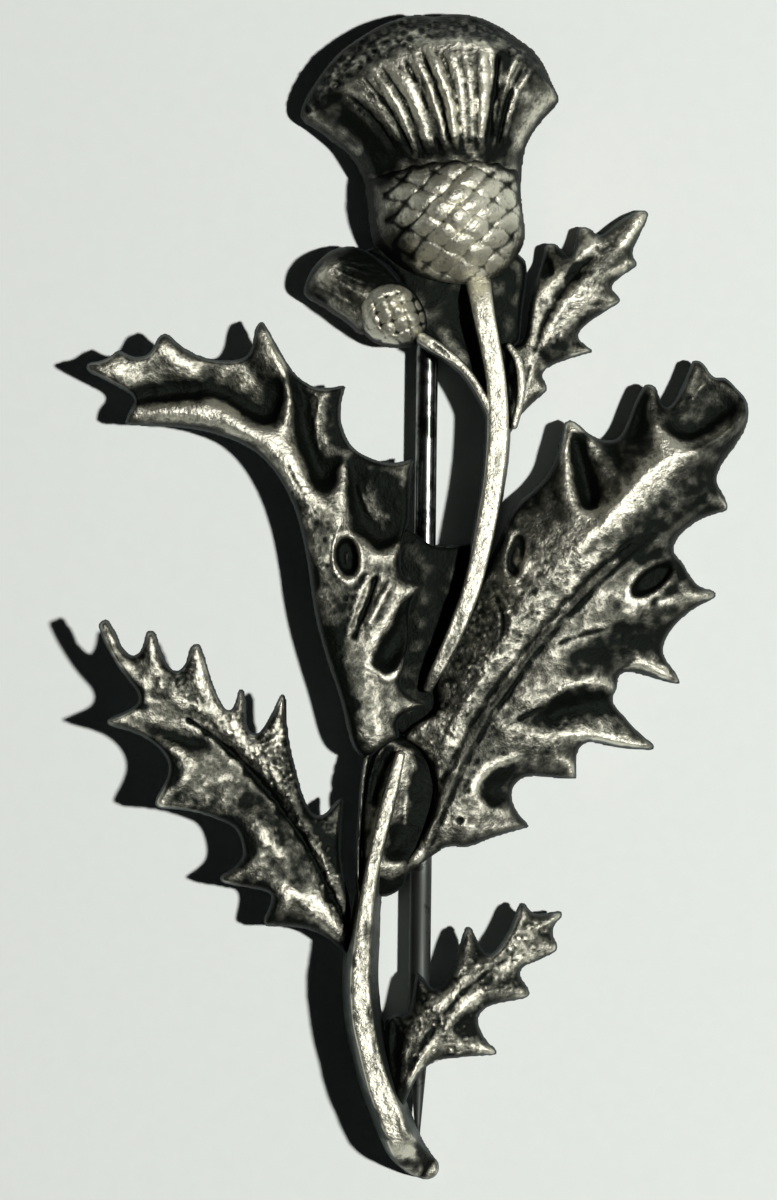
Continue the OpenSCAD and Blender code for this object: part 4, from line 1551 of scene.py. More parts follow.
LOWER_STEM: Chart = (
    (400, 756, 3.7, 0.5, 2.5), (392, 788, 4.1, 0.64, 2.4), (383, 822, 4.4, 0.72, 2.2),
    (374, 860, 4.6, 0.8, 1.8), (367, 900, 4.8, 0.92, 1.4), (363, 940, 5.0, 1.06, 1.2),
    (360, 980, 5.1, 1.16, 1.2), (363, 1020, 5.1, 1.2, 1.2), (370, 1055, 5.1, 1.18, 1.2),
    (380, 1090, 5.1, 1.22, 1.3), (391, 1118, 5.0, 1.22, 1.55), (399, 1138, 4.8, 1.22, 1.6),
    (405, 1149, 4.1, 1.2, 1.6), (412, 1157, 2.9, 1.1, 1.2), (420, 1164, 1.7, 1.0, 0.4),
    (427, 1168, 0.9, 0.8, 0.1),
)
LEAF_STALK: Chart = (
    (369, 748, 3.2, 0.2, 2.0), (364, 775, 3.6, 0.22, 1.9), (360, 820, 3.8, 0.22, 1.8),
    (358, 865, 3.9, 0.24, 1.7), (360, 910, 4.1, 0.3, 1.5),
)
CRESCENT: Chart = (
    (509, 346, 2.9, 0.3, 1.9), (517, 358, 3.1, 0.36, 1.8), (521, 378, 3.2, 0.38, 1.8),
    (520, 400, 3.1, 0.34, 1.8), (514, 425, 2.9, 0.3, 1.8),
)
MAIN_STEM_STROKES: Strokes = (
    Stroke((468, 292, 474, 312, 480, 335), 0.12, -0.12, Side.SHARP),
)
BUD_STEM_STROKES: Strokes = (
    Stroke((428, 340, 440, 349, 452, 360), 0.1, -0.12, Side.SHARP),
)
LOWER_STEM_STROKES: Strokes = (
    Stroke((356, 930, 353, 985, 358, 1040), 0.12, -0.06, Side.SHARP),
    Stroke((368, 1000, 374, 1045, 384, 1085), 0.14, -0.06, Side.SHARP),
    Stroke((372, 1105, 382, 1130, 392, 1145), 0.2, -0.12, Side.SHARP),
    Stroke((398, 1105, 402, 1125, 412, 1140), 0.25, 0.12),
)
# Polish and patina along the stems, with painted highlights on their lit crowns and painted shade on their
# sides.
LOWER_STEM_WEAR_AND_LIGHT: WearAndLightRubs = (
    WearAndLightRub((352, 940, 355, 1000, 362, 1040, 372, 1080, 385, 1110, 398, 1140), 0.45, 0.25),
    WearAndLightRub((372, 930, 376, 985, 380, 1030, 390, 1075), 0.5, -0.35),
    WearAndLightRub((388, 1147, 398, 1148, 408, 1153), 0.28, 0.75), WearAndLightRub((384, 1156, 404, 1161, 424, 1166), 0.3, -0.45),
    WearAndLightRub((392, 1166, 414, 1172, 430, 1174), 0.5, -0.25), WearAndLightRub((402, 1108, 414, 1130, 427, 1152), 0.4, -0.4),
    WearAndLightRub((404, 1136, 416, 1146, 430, 1160), 0.45, -0.35),
    WearAndLightRub((349, 950, 347, 1000, 352, 1050, 361, 1090, 373, 1125, 386, 1156), 0.25, -0.6),
    WearAndLightRub((366, 1090, 376, 1118, 388, 1145), 0.35, -0.4),
)
MAIN_STEM_WEAR_AND_LIGHT: WearAndLightRubs = (
    WearAndLightRub((480, 300, 492, 345, 498, 400, 496, 460, 486, 520, 470, 580), 0.6, 0.3),
    WearAndLightRub((462, 615, 446, 652, 430, 688), 0.5, -0.4), WearAndLightRub((458, 610, 446, 640, 436, 662), 0.12, 0.4),
)

HEAD_TUFT_OUTLINE: Chart = (
    (298, 115, 1.7), (301, 104, 1.9), (307, 92, 2.1), (315, 80, 2.4), (325, 66, 2.6), (337, 52, 2.7),
    (350, 42, 2.7), (365, 32, 2.7), (380, 23, 2.6), (400, 16, 2.5), (418, 12, 2.4), (432, 16, 2.3),
    (446, 12, 2.3), (465, 12, 2.3), (485, 17, 2.3), (503, 26, 2.3), (520, 38, 2.3), (535, 49, 2.2),
    (546, 64, 2.1), (553, 82, 1.9), (562, 99, 1.7), (556, 108, 1.7), (545, 119, 1.7), (535, 132, 1.7),
    (528, 145, 1.7), (524, 160, 1.7), (522, 190, 1.7), (500, 196, 3.0), (450, 198, 4.0), (400, 194, 3.0),
    (366, 190, 1.7), (359, 172, 1.7), (351, 160, 1.7), (340, 149, 1.7), (328, 140, 1.7), (315, 130, 1.7),
    (303, 124, 1.7),
)
HEAD_TUFT_FOLDS: Charts = (
    ((312, 105, 2.9), (326, 94, 3.9), (345, 84, 4.8), (362, 73, 5.4), (385, 59, 5.8), (408, 48, 6.0),
     (440, 41, 6.1), (470, 41, 6.1), (495, 48, 5.9), (515, 56, 5.4), (533, 68, 4.6), (547, 86, 3.4),
     (554, 98, 2.6)),
    ((335, 110, 3.8), (360, 100, 4.9), (390, 86, 5.8), (420, 76, 6.3), (450, 72, 6.5), (480, 74, 6.3),
     (505, 84, 5.6), (528, 100, 4.3)),
    ((340, 124, 3.5), (357, 137, 3.9), (369, 154, 4.0), (376, 172, 3.8)),
    ((455, 90, 6.4), (453, 120, 6.0), (450, 150, 5.4), (450, 175, 4.6)),
    ((405, 98, 5.9), (420, 125, 5.5), (428, 150, 5.1), (430, 175, 4.5)),
    ((500, 100, 5.2), (488, 125, 5.2), (480, 150, 4.9), (478, 172, 4.4)),
    ((540, 106, 3.2), (524, 128, 3.4), (514, 150, 3.4), (511, 172, 3.2)),
)
HEAD_TUFT_FRINGE: Trail = (
    300, 118, 312, 84, 345, 46, 398, 18, 440, 14, 500, 26, 548, 68, 558, 100, 540, 76, 498, 48, 440, 38,
    385, 56, 345, 82, 318, 112,
)
HEAD_TUFT_PATCHES: Patches = (
    PittedPatch(HEAD_TUFT_FRINGE, 4.0, 0.25, -0.08),
    PittedPatch(HEAD_TUFT_FRINGE, 4.0, 0.2, 0.08),
)
FLORETS: Strokes = (
    Stroke((386, 64, 404, 88, 416, 108, 432, 158), 0.64, 0.26, fade=1.2),
    Stroke((411, 50, 426, 84, 436, 112, 446, 156), 0.3, 0.2, fade=1.2),
    Stroke((426, 47, 439, 79, 449, 107, 458, 158), 0.46, 0.38, fade=1.2),
    Stroke((448, 44, 456, 75, 462, 105, 466, 152), 0.36, 0.14, fade=1.0),
    Stroke((461, 43, 468, 75, 471, 106, 472, 154), 0.36, 0.12, fade=1.0),
    Stroke((478, 44, 484, 76, 484, 106, 480, 158), 0.6, 0.3, fade=1.2),
    Stroke((519, 53, 508, 80, 500, 110, 492, 156), 0.22, 0.22, fade=1.2),
    Stroke((536, 64, 519, 90, 509, 116, 498, 156), 0.22, 0.2, fade=1.2),
    Stroke((371, 68, 391, 98, 406, 128, 420, 160), 0.3, 0.2, fade=1.2),
    Stroke((354, 90, 378, 112, 394, 134, 408, 162), 0.3, 0.12, fade=1.2),
    Stroke((336, 96, 360, 116, 378, 138, 394, 164), 0.34, 0.12, fade=1.4),
    Stroke((378, 66, 397, 92, 410, 116, 425, 158), 0.13, -0.26, fade=1.0),
    Stroke((400, 56, 417, 86, 427, 112, 440, 156), 0.12, -0.26, fade=1.0),
    Stroke((419, 48, 432, 80, 442, 110, 452, 154), 0.12, -0.28, fade=1.0),
    Stroke((437, 46, 449, 78, 457, 106, 462, 150), 0.1, -0.16, fade=1.0),
    Stroke((455, 46, 463, 78, 467, 106, 469, 150), 0.1, -0.1, fade=1.0),
    Stroke((468, 44, 475, 74, 477, 104, 476, 152), 0.1, -0.13, fade=1.0),
    Stroke((487, 50, 490, 80, 488, 110), 0.08, -0.12, fade=0.8),
    Stroke((497, 52, 496, 80, 491, 110, 485, 150), 0.3, -0.42, fade=1.0),
    Stroke((527, 60, 513, 88, 504, 113, 495, 154), 0.16, -0.22, fade=1.0),
    Stroke((362, 78, 384, 104, 400, 130, 414, 160), 0.14, -0.22, fade=1.0),
    Stroke((345, 92, 369, 114, 386, 136, 401, 162), 0.14, -0.2, fade=1.0),
)
HEAD_CUP_OUTLINE: Chart = (
    (368, 172, 1.7), (363, 186, 1.7), (366, 200, 1.7), (367, 215, 1.7), (369, 232, 1.7), (373, 248, 1.9),
    (388, 262, 2.2), (408, 273, 2.6), (430, 281, 3.0), (455, 286, 3.2), (476, 285, 3.2), (496, 279, 3.0),
    (512, 266, 2.6), (523, 250, 2.2), (527, 235, 1.9), (524, 210, 1.7), (522, 190, 1.7), (522, 176, 1.7),
    (516, 165, 3.1), (507, 167, 3.6), (499, 158, 4.0), (488, 162, 4.5), (477, 155, 4.7), (466, 161, 4.8),
    (455, 154, 4.9), (443, 161, 4.8), (431, 156, 4.7), (421, 164, 4.5), (410, 160, 4.1), (401, 168, 3.8),
    (391, 165, 3.3), (380, 172, 2.7),
)
HEAD_CUP_FOLDS: Charts = (
    ((379, 174, 3.7), (382, 200, 4.1), (383, 225, 4.0), (388, 245, 3.5)),
    ((513, 172, 3.2), (516, 200, 3.5), (516, 230, 3.3), (510, 250, 3.1)),
)
HEAD_CUP_PATCH: Trail = (
    380, 178, 408, 168, 440, 163, 480, 163, 516, 170, 522, 200, 523, 232, 510, 262, 488, 280, 460, 285,
    432, 280, 406, 264, 386, 242, 378, 205,
)
HEAD_CUP_PADS = Pads(
    (458, 222), (15.8, -15.8), (18.2, 9.2),
    HEAD_CUP_PATCH,
    lift=0.27, tilt=0.1, cross_share=0.88, stray=0.05, square=2.3, flat=2.3, seam=0.2,
)
CUP_GRAIN = Grain(pits=0.3, lumps=0.008)
BRACTS: Strokes = tuple(
    Stroke((400 + 12.0 * k, 180, 404 + 11.4 * k, 163 - 3 * (k % 2)), 0.3, 0.16, fade=0.9)
    for k in range(9)
)
BUD_TUFT_OUTLINE: Chart = (
    (303, 297, 1.9), (302, 289, 2.0), (305, 279, 2.2), (310, 269, 2.3), (318, 259, 2.4), (327, 251, 2.4),
    (338, 246, 2.3), (354, 244, 2.2), (372, 252, 2.4), (390, 268, 2.6), (404, 284, 3.0), (398, 300, 3.4),
    (380, 322, 3.2), (366, 336, 2.4), (357, 335, 2.0), (350, 328, 1.9), (340, 320, 1.9), (330, 314, 1.9),
    (322, 308, 1.9), (312, 303, 1.9),
)
BUD_TUFT_FOLDS: Charts = (
    ((311, 292, 3.1), (316, 279, 3.7), (325, 267, 4.1), (337, 258, 4.1), (352, 254, 3.6)),
    ((326, 277, 4.3), (345, 285, 4.6), (365, 296, 4.7), (385, 305, 4.6)),
    ((330, 303, 3.4), (346, 314, 3.6), (360, 326, 3.4)),
)
BUD_STRIPES: Strokes = tuple(
    Stroke((308 + 7.5 * k, 292 - 10.5 * k + 0.9 * k * k, 350 + 6 * k, 318 - 11 * k), 0.12, 0.09)
    for k in range(6)
)
BUD_CUP_OUTLINE: Chart = (
    (350, 300, 2.9), (352, 314, 2.4), (358, 328, 2.2), (367, 340, 2.2), (382, 348, 2.2), (402, 350, 2.3),
    (420, 346, 2.4), (430, 334, 2.4), (431, 318, 2.4), (424, 300, 2.4), (412, 286, 2.5), (398, 279, 2.8),
    (385, 280, 3.9), (372, 286, 4.4), (360, 292, 4.0),
)
BUD_CUP_FOLDS: Charts = (
    ((372, 298, 5.1), (385, 303, 5.5), (398, 308, 5.5), (410, 312, 5.2)),
    ((362, 302, 4.5), (370, 318, 4.7), (382, 332, 4.5), (396, 339, 4.2)),
    ((416, 318, 4.8), (410, 332, 4.4)),
    ((378, 289, 4.9), (394, 288, 4.8), (408, 295, 4.8)),
)
BUD_CUP_PATCH: Trail = (
    358, 308, 372, 296, 390, 289, 410, 289, 424, 301, 430, 320, 421, 339, 400, 347, 379, 342, 365, 328,
)
BUD_CUP_PADS = Pads(
    (397, 313), (12.0, -4.6), (3.8, 12.0),
    BUD_CUP_PATCH,
    lift=0.22, cross_share=1.0, stray=0.03, square=3.4, flat=3.6, seam=0.42,
)
BUD_STROKES: Strokes = (
    Stroke((364, 314, 384, 300, 406, 291), 0.14, -0.25, Side.SHARP),
    Stroke((352, 306, 362, 326, 380, 342), 0.2, 0.12),
)


UPPER_LEFT_PATCHES: Patches = (
    PittedPatch((270, 430, 310, 470, 350, 560, 370, 640, 345, 640, 300, 520), 7.0),
)
# Polish and patina, with painted highlights on faces that catch the lamp and painted shade on faces turned
# from it.
UPPER_LEFT_WEAR_AND_LIGHT: WearAndLightRubs = (
    WearAndLightRub((108, 363, 126, 369, 142, 380), 0.5, 0.22), WearAndLightRub((162, 345, 172, 358, 190, 372), 0.5, 0.2),
    WearAndLightRub((150, 412, 185, 409, 215, 411), 0.6, 0.25), WearAndLightRub((212, 400, 232, 410), 0.45, 0.6),
    WearAndLightRub((238, 424, 260, 436, 278, 448), 0.8, 0.2), WearAndLightRub((276, 432, 285, 450, 298, 474), 0.75, 0.25),
    WearAndLightRub((294, 468, 306, 492, 318, 510), 0.6, 0.1), WearAndLightRub((388, 600, 408, 591), 0.4, 0.2),
    WearAndLightRub((404, 602, 428, 586), 0.2, 0.05), WearAndLightRub((333, 537, 331, 560, 343, 577, 355, 578), 0.12, 0.45),
    WearAndLightRub((390, 624, 375, 643, 370, 662, 384, 677, 397, 673, 407, 658), 0.14, 0.6),
    WearAndLightRub((383, 662, 390, 645, 400, 628, 412, 605), 0.5, -0.9),
    WearAndLightRub((394, 664, 402, 648, 411, 625), 0.4, -0.9), WearAndLightRub((350, 580, 350, 610, 344, 645), 0.5, -0.15),
    WearAndLightRub((264, 335, 276, 352, 284, 372, 287, 402), 0.25, 0.4), WearAndLightRub((232, 370, 250, 384), 0.5, 0.2),
    WearAndLightRub((322, 394, 318, 412, 319, 430), 0.16, 0.2), WearAndLightRub((358, 482, 374, 518), 0.25, 0.25),
    WearAndLightRub((362, 572, 384, 562, 397, 548), 0.45, 0.15), WearAndLightRub((368, 590, 360, 615, 352, 645), 0.35, 0.2),
    WearAndLightRub((352, 650, 366, 690, 384, 712), 0.9, 0.1), WearAndLightRub((340, 640, 352, 690, 362, 730), 0.8, -0.1),
    WearAndLightRub((400, 700, 430, 705), 0.2, 0.05), WearAndLightRub((135, 396, 170, 393, 212, 395), 0.55, -0.6),
    WearAndLightRub((180, 388, 206, 384), 0.5, -0.3),
    WearAndLightRub((224, 392, 240, 404, 258, 416, 274, 410, 281, 385), 0.45, -0.6),
    WearAndLightRub((250, 350, 262, 370, 268, 392), 0.45, -0.2),
    WearAndLightRub((291, 376, 301, 410, 311, 450, 322, 482, 336, 462), 0.55, -0.6),
    WearAndLightRub((336, 395, 334, 430, 340, 448), 0.5, -0.35),
    WearAndLightRub((352, 468, 362, 515, 380, 540, 400, 528), 0.6, -0.6),
    WearAndLightRub((372, 475, 392, 490, 402, 520), 1.0, -0.45),
    WearAndLightRub((238, 446, 256, 456, 277, 487, 293, 522, 303, 560, 310, 600, 319, 645, 333, 690, 344, 735),
           0.36, -0.8),
    WearAndLightRub((318, 520, 326, 560, 332, 610, 342, 655, 352, 700), 0.7, -0.2),
    WearAndLightRub((280, 488, 295, 525, 304, 560, 310, 600, 319, 645, 332, 690, 343, 735), 0.62, -0.35),
    WearAndLightRub((324, 640, 340, 695, 354, 745), 0.7, -0.55), WearAndLightRub((283, 425, 292, 450), 0.5, -0.15),
    WearAndLightRub((360, 575, 385, 566, 398, 552), 0.5, -0.2), WearAndLightRub((370, 655, 384, 680, 400, 672), 0.3, -0.25),
)
LOWER_LEFT_PATCHES: Patches = (
    PittedPatch((130, 660, 210, 650, 300, 740, 310, 800, 200, 720), 9.0, 0.15, -0.04),
    PittedPatch((215, 690, 290, 700, 310, 800, 345, 830, 345, 930, 300, 840, 240, 745), 9.0, 0.15, -0.06),
    PittedPatch((160, 745, 250, 770, 300, 850, 335, 930, 270, 925, 170, 800), 4.0, 0.16, -0.02),
)
LOWER_LEFT_WEAR_AND_LIGHT: WearAndLightRubs = (
    WearAndLightRub((198, 655, 205, 680, 216, 703), 0.4, 0.5), WearAndLightRub((150, 700, 172, 702, 196, 704), 0.35, 0.45),
    WearAndLightRub((128, 713, 168, 721, 200, 730), 0.35, 0.25), WearAndLightRub((224, 715, 250, 742, 278, 775), 0.5, 0.35),
    WearAndLightRub((300, 898, 325, 920), 0.4, -0.15), WearAndLightRub((282, 918, 308, 930, 336, 948), 0.5, -0.3),
    WearAndLightRub((263, 832, 276, 845, 287, 860), 0.4, 0.3), WearAndLightRub((285, 887, 303, 897, 320, 910), 0.4, 0.35),
    WearAndLightRub((255, 795, 280, 835, 300, 872), 1.0, -0.22), WearAndLightRub((175, 797, 225, 808, 262, 822), 0.5, -0.15),
    WearAndLightRub((105, 726, 148, 741, 168, 768, 158, 803), 0.2, 0.35),
    WearAndLightRub((160, 808, 208, 818, 243, 855), 0.2, 0.35), WearAndLightRub((222, 884, 268, 906), 0.25, 0.35),
    WearAndLightRub((103, 626, 120, 660, 150, 685), 0.3, 0.35), WearAndLightRub((150, 634, 158, 668), 0.2, 0.3),
    WearAndLightRub((241, 693, 238, 722), 0.2, 0.3), WearAndLightRub((284, 698, 276, 740), 0.2, 0.3),
    WearAndLightRub((190, 720, 215, 739, 255, 776, 300, 835, 322, 880, 345, 925), 0.16, -0.7),
    WearAndLightRub((118, 674, 136, 690, 144, 704), 0.4, -0.5), WearAndLightRub((166, 735, 205, 744), 0.5, -0.25),
    WearAndLightRub((152, 745, 170, 762, 172, 780), 0.5, -0.5), WearAndLightRub((228, 826, 248, 840, 246, 860), 0.5, -0.5),
    WearAndLightRub((262, 890, 276, 900, 270, 914), 0.45, -0.5), WearAndLightRub((296, 806, 318, 830, 338, 860), 0.5, -0.35),
    WearAndLightRub((250, 742, 285, 790, 318, 850), 0.8, -0.1),
)
RIGHT_PATCHES: Patches = (
    PittedPatch((520, 560, 600, 520, 640, 500, 560, 600, 480, 700, 440, 760, 430, 730, 480, 640), 9.0),
    PittedPatch((430, 740, 500, 720, 600, 700, 590, 740, 520, 760, 450, 830), 9.0),
    PittedPatch((405, 735, 440, 690, 480, 600, 505, 560, 530, 590, 480, 690, 440, 760, 435, 840,
                420, 760), 8.0, 0.15, -0.05),
)
RIGHT_WEAR_AND_LIGHT: WearAndLightRubs = (
    WearAndLightRub((520, 565, 560, 540, 595, 525, 625, 505, 650, 475, 672, 455), 0.9, 0.3),
    WearAndLightRub((618, 508, 640, 488, 664, 460), 0.5, 0.12), WearAndLightRub((590, 560, 545, 610, 505, 665), 0.55, 0.22),
    WearAndLightRub((640, 542, 598, 577, 552, 624, 515, 672, 487, 712, 468, 745, 451, 780, 437, 812, 424, 845),
           0.3, -0.4),
    WearAndLightRub((505, 600, 530, 570), 0.8, 0.2), WearAndLightRub((483, 709, 511, 669, 549, 620, 595, 573), 0.08, 0.3),
    WearAndLightRub((565, 632, 600, 604, 628, 596), 0.55, 0.08), WearAndLightRub((535, 665, 575, 644, 612, 636), 0.35, 0.12),
    WearAndLightRub((600, 640, 570, 665), 0.7, -0.15), WearAndLightRub((502, 722, 545, 699, 575, 682, 612, 684), 0.2, 0.2),
    WearAndLightRub((560, 700, 600, 700), 0.6, -0.25), WearAndLightRub((525, 690, 558, 668), 0.5, 0.1),
    WearAndLightRub((662, 602, 690, 602, 716, 596), 0.2, 0.5), WearAndLightRub((622, 670, 645, 665, 665, 673, 683, 686), 0.18, 0.5),
    WearAndLightRub((595, 741, 625, 742, 654, 747), 0.15, 0.4), WearAndLightRub((626, 590, 630, 602, 646, 602), 0.12, 0.5),
    WearAndLightRub((500, 746, 540, 742, 582, 735), 0.6, 0.12), WearAndLightRub((413, 745, 440, 740, 466, 742), 0.9, 0.15),
    WearAndLightRub((484, 805, 476, 790, 487, 770, 513, 758), 0.14, 0.35),
    WearAndLightRub((492, 800, 492, 788, 504, 776), 0.4, -0.8), WearAndLightRub((440, 800, 455, 822, 478, 836), 0.6, 0.1),
    WearAndLightRub((470, 770, 500, 745), 1.2, -0.12), WearAndLightRub((480, 835, 530, 828), 0.5, -0.2),
    WearAndLightRub((655, 428, 664, 442, 681, 448), 0.22, 0.6), WearAndLightRub((572, 425, 584, 427), 0.15, 0.6),
    WearAndLightRub((700, 452, 725, 442, 746, 415), 0.5, -0.2),
    WearAndLightRub((566, 440, 567, 488, 580, 514, 602, 508), 0.14, 0.4), WearAndLightRub((720, 484, 728, 504), 0.2, 0.4),
    WearAndLightRub((425, 846, 407, 868), 0.16, 0.3), WearAndLightRub((640, 545, 680, 518, 714, 500), 1.5, -0.3),
    WearAndLightRub((690, 480, 725, 460), 1.1, -0.18), WearAndLightRub((622, 562, 655, 530), 0.6, -0.15),
    WearAndLightRub((668, 425, 700, 405, 738, 398), 1.2, -0.15), WearAndLightRub((530, 500, 545, 490, 560, 450), 1.0, -0.12),
    WearAndLightRub((612, 455, 640, 440, 648, 405), 0.8, -0.2), WearAndLightRub((540, 718, 580, 708, 612, 700), 0.9, -0.3),
    WearAndLightRub((590, 660, 640, 640, 668, 640), 1.0, -0.38), WearAndLightRub((610, 618, 650, 614, 700, 592), 0.6, -0.2),
    WearAndLightRub((578, 440, 582, 470, 590, 500), 0.5, -0.8), WearAndLightRub((492, 560, 474, 620, 448, 680), 0.6, -0.1),
    WearAndLightRub((440, 786, 430, 812, 421, 838), 0.1, 0.45),
    WearAndLightRub((640, 560, 664, 558, 680, 570, 670, 592, 650, 606), 0.3, -0.4),
    WearAndLightRub((504, 566, 505, 545, 514, 528, 528, 540, 530, 560), 0.3, -0.35),
    WearAndLightRub((588, 440, 602, 470, 608, 500), 0.3, -0.2),
    WearAndLightRub((690, 448, 722, 438, 745, 412, 744, 392, 730, 378), 0.35, -0.25),
    WearAndLightRub((655, 395, 655, 425), 0.35, -0.2), WearAndLightRub((520, 755, 550, 757), 0.4, -0.2),
    WearAndLightRub((505, 596, 497, 640), 0.5, -0.15), WearAndLightRub((655, 580, 640, 590), 0.5, -0.5),
)
UPPER_RIGHT_PATCHES: Patches = (
    PittedPatch((528, 340, 540, 280, 600, 240, 640, 215, 600, 300, 560, 345), 5.0, 0.15, -0.03),
)
UPPER_RIGHT_WEAR_AND_LIGHT: WearAndLightRubs = (
    WearAndLightRub((558, 328, 572, 312, 592, 294), 0.5, 0.15), WearAndLightRub((534, 340, 540, 312, 552, 290), 0.45, 0.08),
    WearAndLightRub((622, 240, 636, 228, 646, 214), 0.3, 0.25), WearAndLightRub((550, 352, 590, 352), 0.5, -0.2),
    WearAndLightRub((600, 300, 618, 302), 0.4, -0.15), WearAndLightRub((545, 367, 570, 358, 595, 353), 0.18, 0.45),
    WearAndLightRub((590, 306, 621, 303), 0.18, 0.45), WearAndLightRub((605, 272, 638, 267), 0.18, 0.4),
    WearAndLightRub((580, 278, 600, 264, 622, 252), 0.55, -0.3),
    WearAndLightRub((520, 415, 530, 365, 541, 325, 560, 290, 585, 262, 615, 240), 0.11, -0.3),
    WearAndLightRub((545, 352, 566, 345), 0.4, -0.3), WearAndLightRub((556, 252, 570, 268), 0.5, -0.4),
    WearAndLightRub((512, 400, 517, 370), 0.3, -0.3),
)
LOWER_RIGHT_PATCHES: Patches = (
    PittedPatch((395, 1100, 385, 1020, 440, 985, 520, 905, 562, 915, 558, 950, 500, 1000, 480, 1055,
                430, 1065), 8.0, 0.15, -0.05),
)
LOWER_RIGHT_WEAR_AND_LIGHT: WearAndLightRubs = (
    WearAndLightRub((436, 1003, 450, 990), 0.4, 0.25), WearAndLightRub((462, 1004, 478, 996), 0.4, 0.4),
    WearAndLightRub((410, 1085, 430, 1052), 0.25, 0.3), WearAndLightRub((497, 972, 518, 945), 0.3, 0.2),
    WearAndLightRub((530, 928, 558, 917), 0.22, 0.2), WearAndLightRub((440, 1046, 465, 1050, 495, 1054), 0.25, 0.3),
    WearAndLightRub((498, 1001, 529, 996), 0.2, 0.3), WearAndLightRub((530, 960, 557, 949), 0.2, 0.35),
    WearAndLightRub((388, 1018, 392, 1055, 398, 1092), 0.6, -0.6),
    WearAndLightRub((400, 1090, 416, 1055, 440, 1020, 470, 986, 510, 956), 0.08, -0.3),
    WearAndLightRub((462, 1025, 470, 1035), 0.5, -0.25), WearAndLightRub((490, 982, 515, 982), 0.6, -0.2),
    WearAndLightRub((416, 985, 425, 1005), 0.4, -0.2), WearAndLightRub((462, 940, 470, 960), 0.35, -0.15),
)
SHEATH_WEAR_AND_LIGHT: WearAndLightRubs = (
    WearAndLightRub((400, 756, 391, 783, 381, 811, 373, 840, 366, 868), 0.4, 0.45),
    WearAndLightRub((381, 752, 375, 776), 0.12, 0.4), WearAndLightRub((406, 796, 405, 824), 0.12, 0.35),
    WearAndLightRub((412, 765, 411, 795), 0.4, 0.1), WearAndLightRub((420, 790, 424, 812, 412, 838, 400, 852), 0.7, -0.8),
    WearAndLightRub((396, 830, 398, 845), 0.4, -0.5), WearAndLightRub((370, 795, 376, 768, 386, 752), 0.45, -0.6),
    WearAndLightRub((376, 866, 390, 862, 404, 860), 0.5, -0.12),
    WearAndLightRub((384, 738, 404, 739, 424, 755, 437, 785, 434, 810), 0.35, -0.7),
    WearAndLightRub((412, 758, 412, 795), 0.3, -0.3), WearAndLightRub((374, 888, 400, 886), 0.6, -0.9),
)
HEAD_TUFT_WEAR_AND_LIGHT: WearAndLightRubs = (
    WearAndLightRub((388, 68, 404, 90, 416, 110, 424, 132), 0.36, 0.4),
    WearAndLightRub((428, 53, 439, 80, 449, 107, 455, 132), 0.28, 0.7), WearAndLightRub((446, 48, 470, 48, 484, 52), 0.3, 0.2),
    WearAndLightRub((452, 60, 462, 100, 466, 128), 0.6, 0.2), WearAndLightRub((350, 104, 374, 124, 394, 146), 1.0, -0.2),
    WearAndLightRub((340, 122, 357, 137, 369, 154, 377, 175), 0.35, -0.25),
    WearAndLightRub((440, 38, 480, 38, 500, 44), 0.3, -0.25), WearAndLightRub((481, 50, 485, 90, 482, 128), 0.42, 0.45),
    WearAndLightRub((413, 58, 427, 90, 438, 126), 0.25, 0.3), WearAndLightRub((372, 72, 392, 100, 405, 128), 0.2, 0.1),
    WearAndLightRub((344, 100, 368, 120, 388, 146), 0.5, -0.15), WearAndLightRub((518, 58, 506, 84, 498, 110), 0.16, 0.3),
    WearAndLightRub((533, 68, 517, 92, 506, 116), 0.16, 0.25),
    WearAndLightRub((312, 96, 330, 76, 358, 50, 398, 30, 440, 24, 482, 28, 518, 44, 543, 74), 1.0, -0.36),
    WearAndLightRub((335, 74, 345, 64, 362, 58), 0.3, 0.25), WearAndLightRub((380, 44, 400, 36, 420, 34), 0.3, 0.2),
    WearAndLightRub((503, 58, 501, 95, 494, 135), 0.4, -0.6), WearAndLightRub((528, 74, 516, 104, 508, 130), 0.7, -0.2),
    WearAndLightRub((552, 98, 536, 118, 524, 140, 520, 160), 0.35, 0.14),
    WearAndLightRub((326, 106, 350, 120, 376, 145), 0.7, -0.35),
    WearAndLightRub((314, 122, 336, 137, 353, 153, 364, 174, 369, 200), 0.4, 0.06), WearAndLightRub((344, 90, 354, 96), 0.3, 0.35),
    WearAndLightRub((376, 160, 400, 154, 450, 152, 495, 153, 512, 158), 0.8, -0.5),
    WearAndLightRub((366, 160, 374, 182), 0.4, -0.35), WearAndLightRub((388, 150, 392, 170), 0.8, -0.2),
    WearAndLightRub((412, 148, 416, 158), 0.12, 0.4), WearAndLightRub((452, 150, 458, 164), 0.12, 0.45),
    WearAndLightRub((466, 146, 475, 158), 0.12, 0.45), WearAndLightRub((318, 100, 345, 84, 385, 59, 420, 45), 0.4, -0.3),
    WearAndLightRub((490, 48, 515, 56, 533, 68, 550, 92), 0.4, -0.25),
)
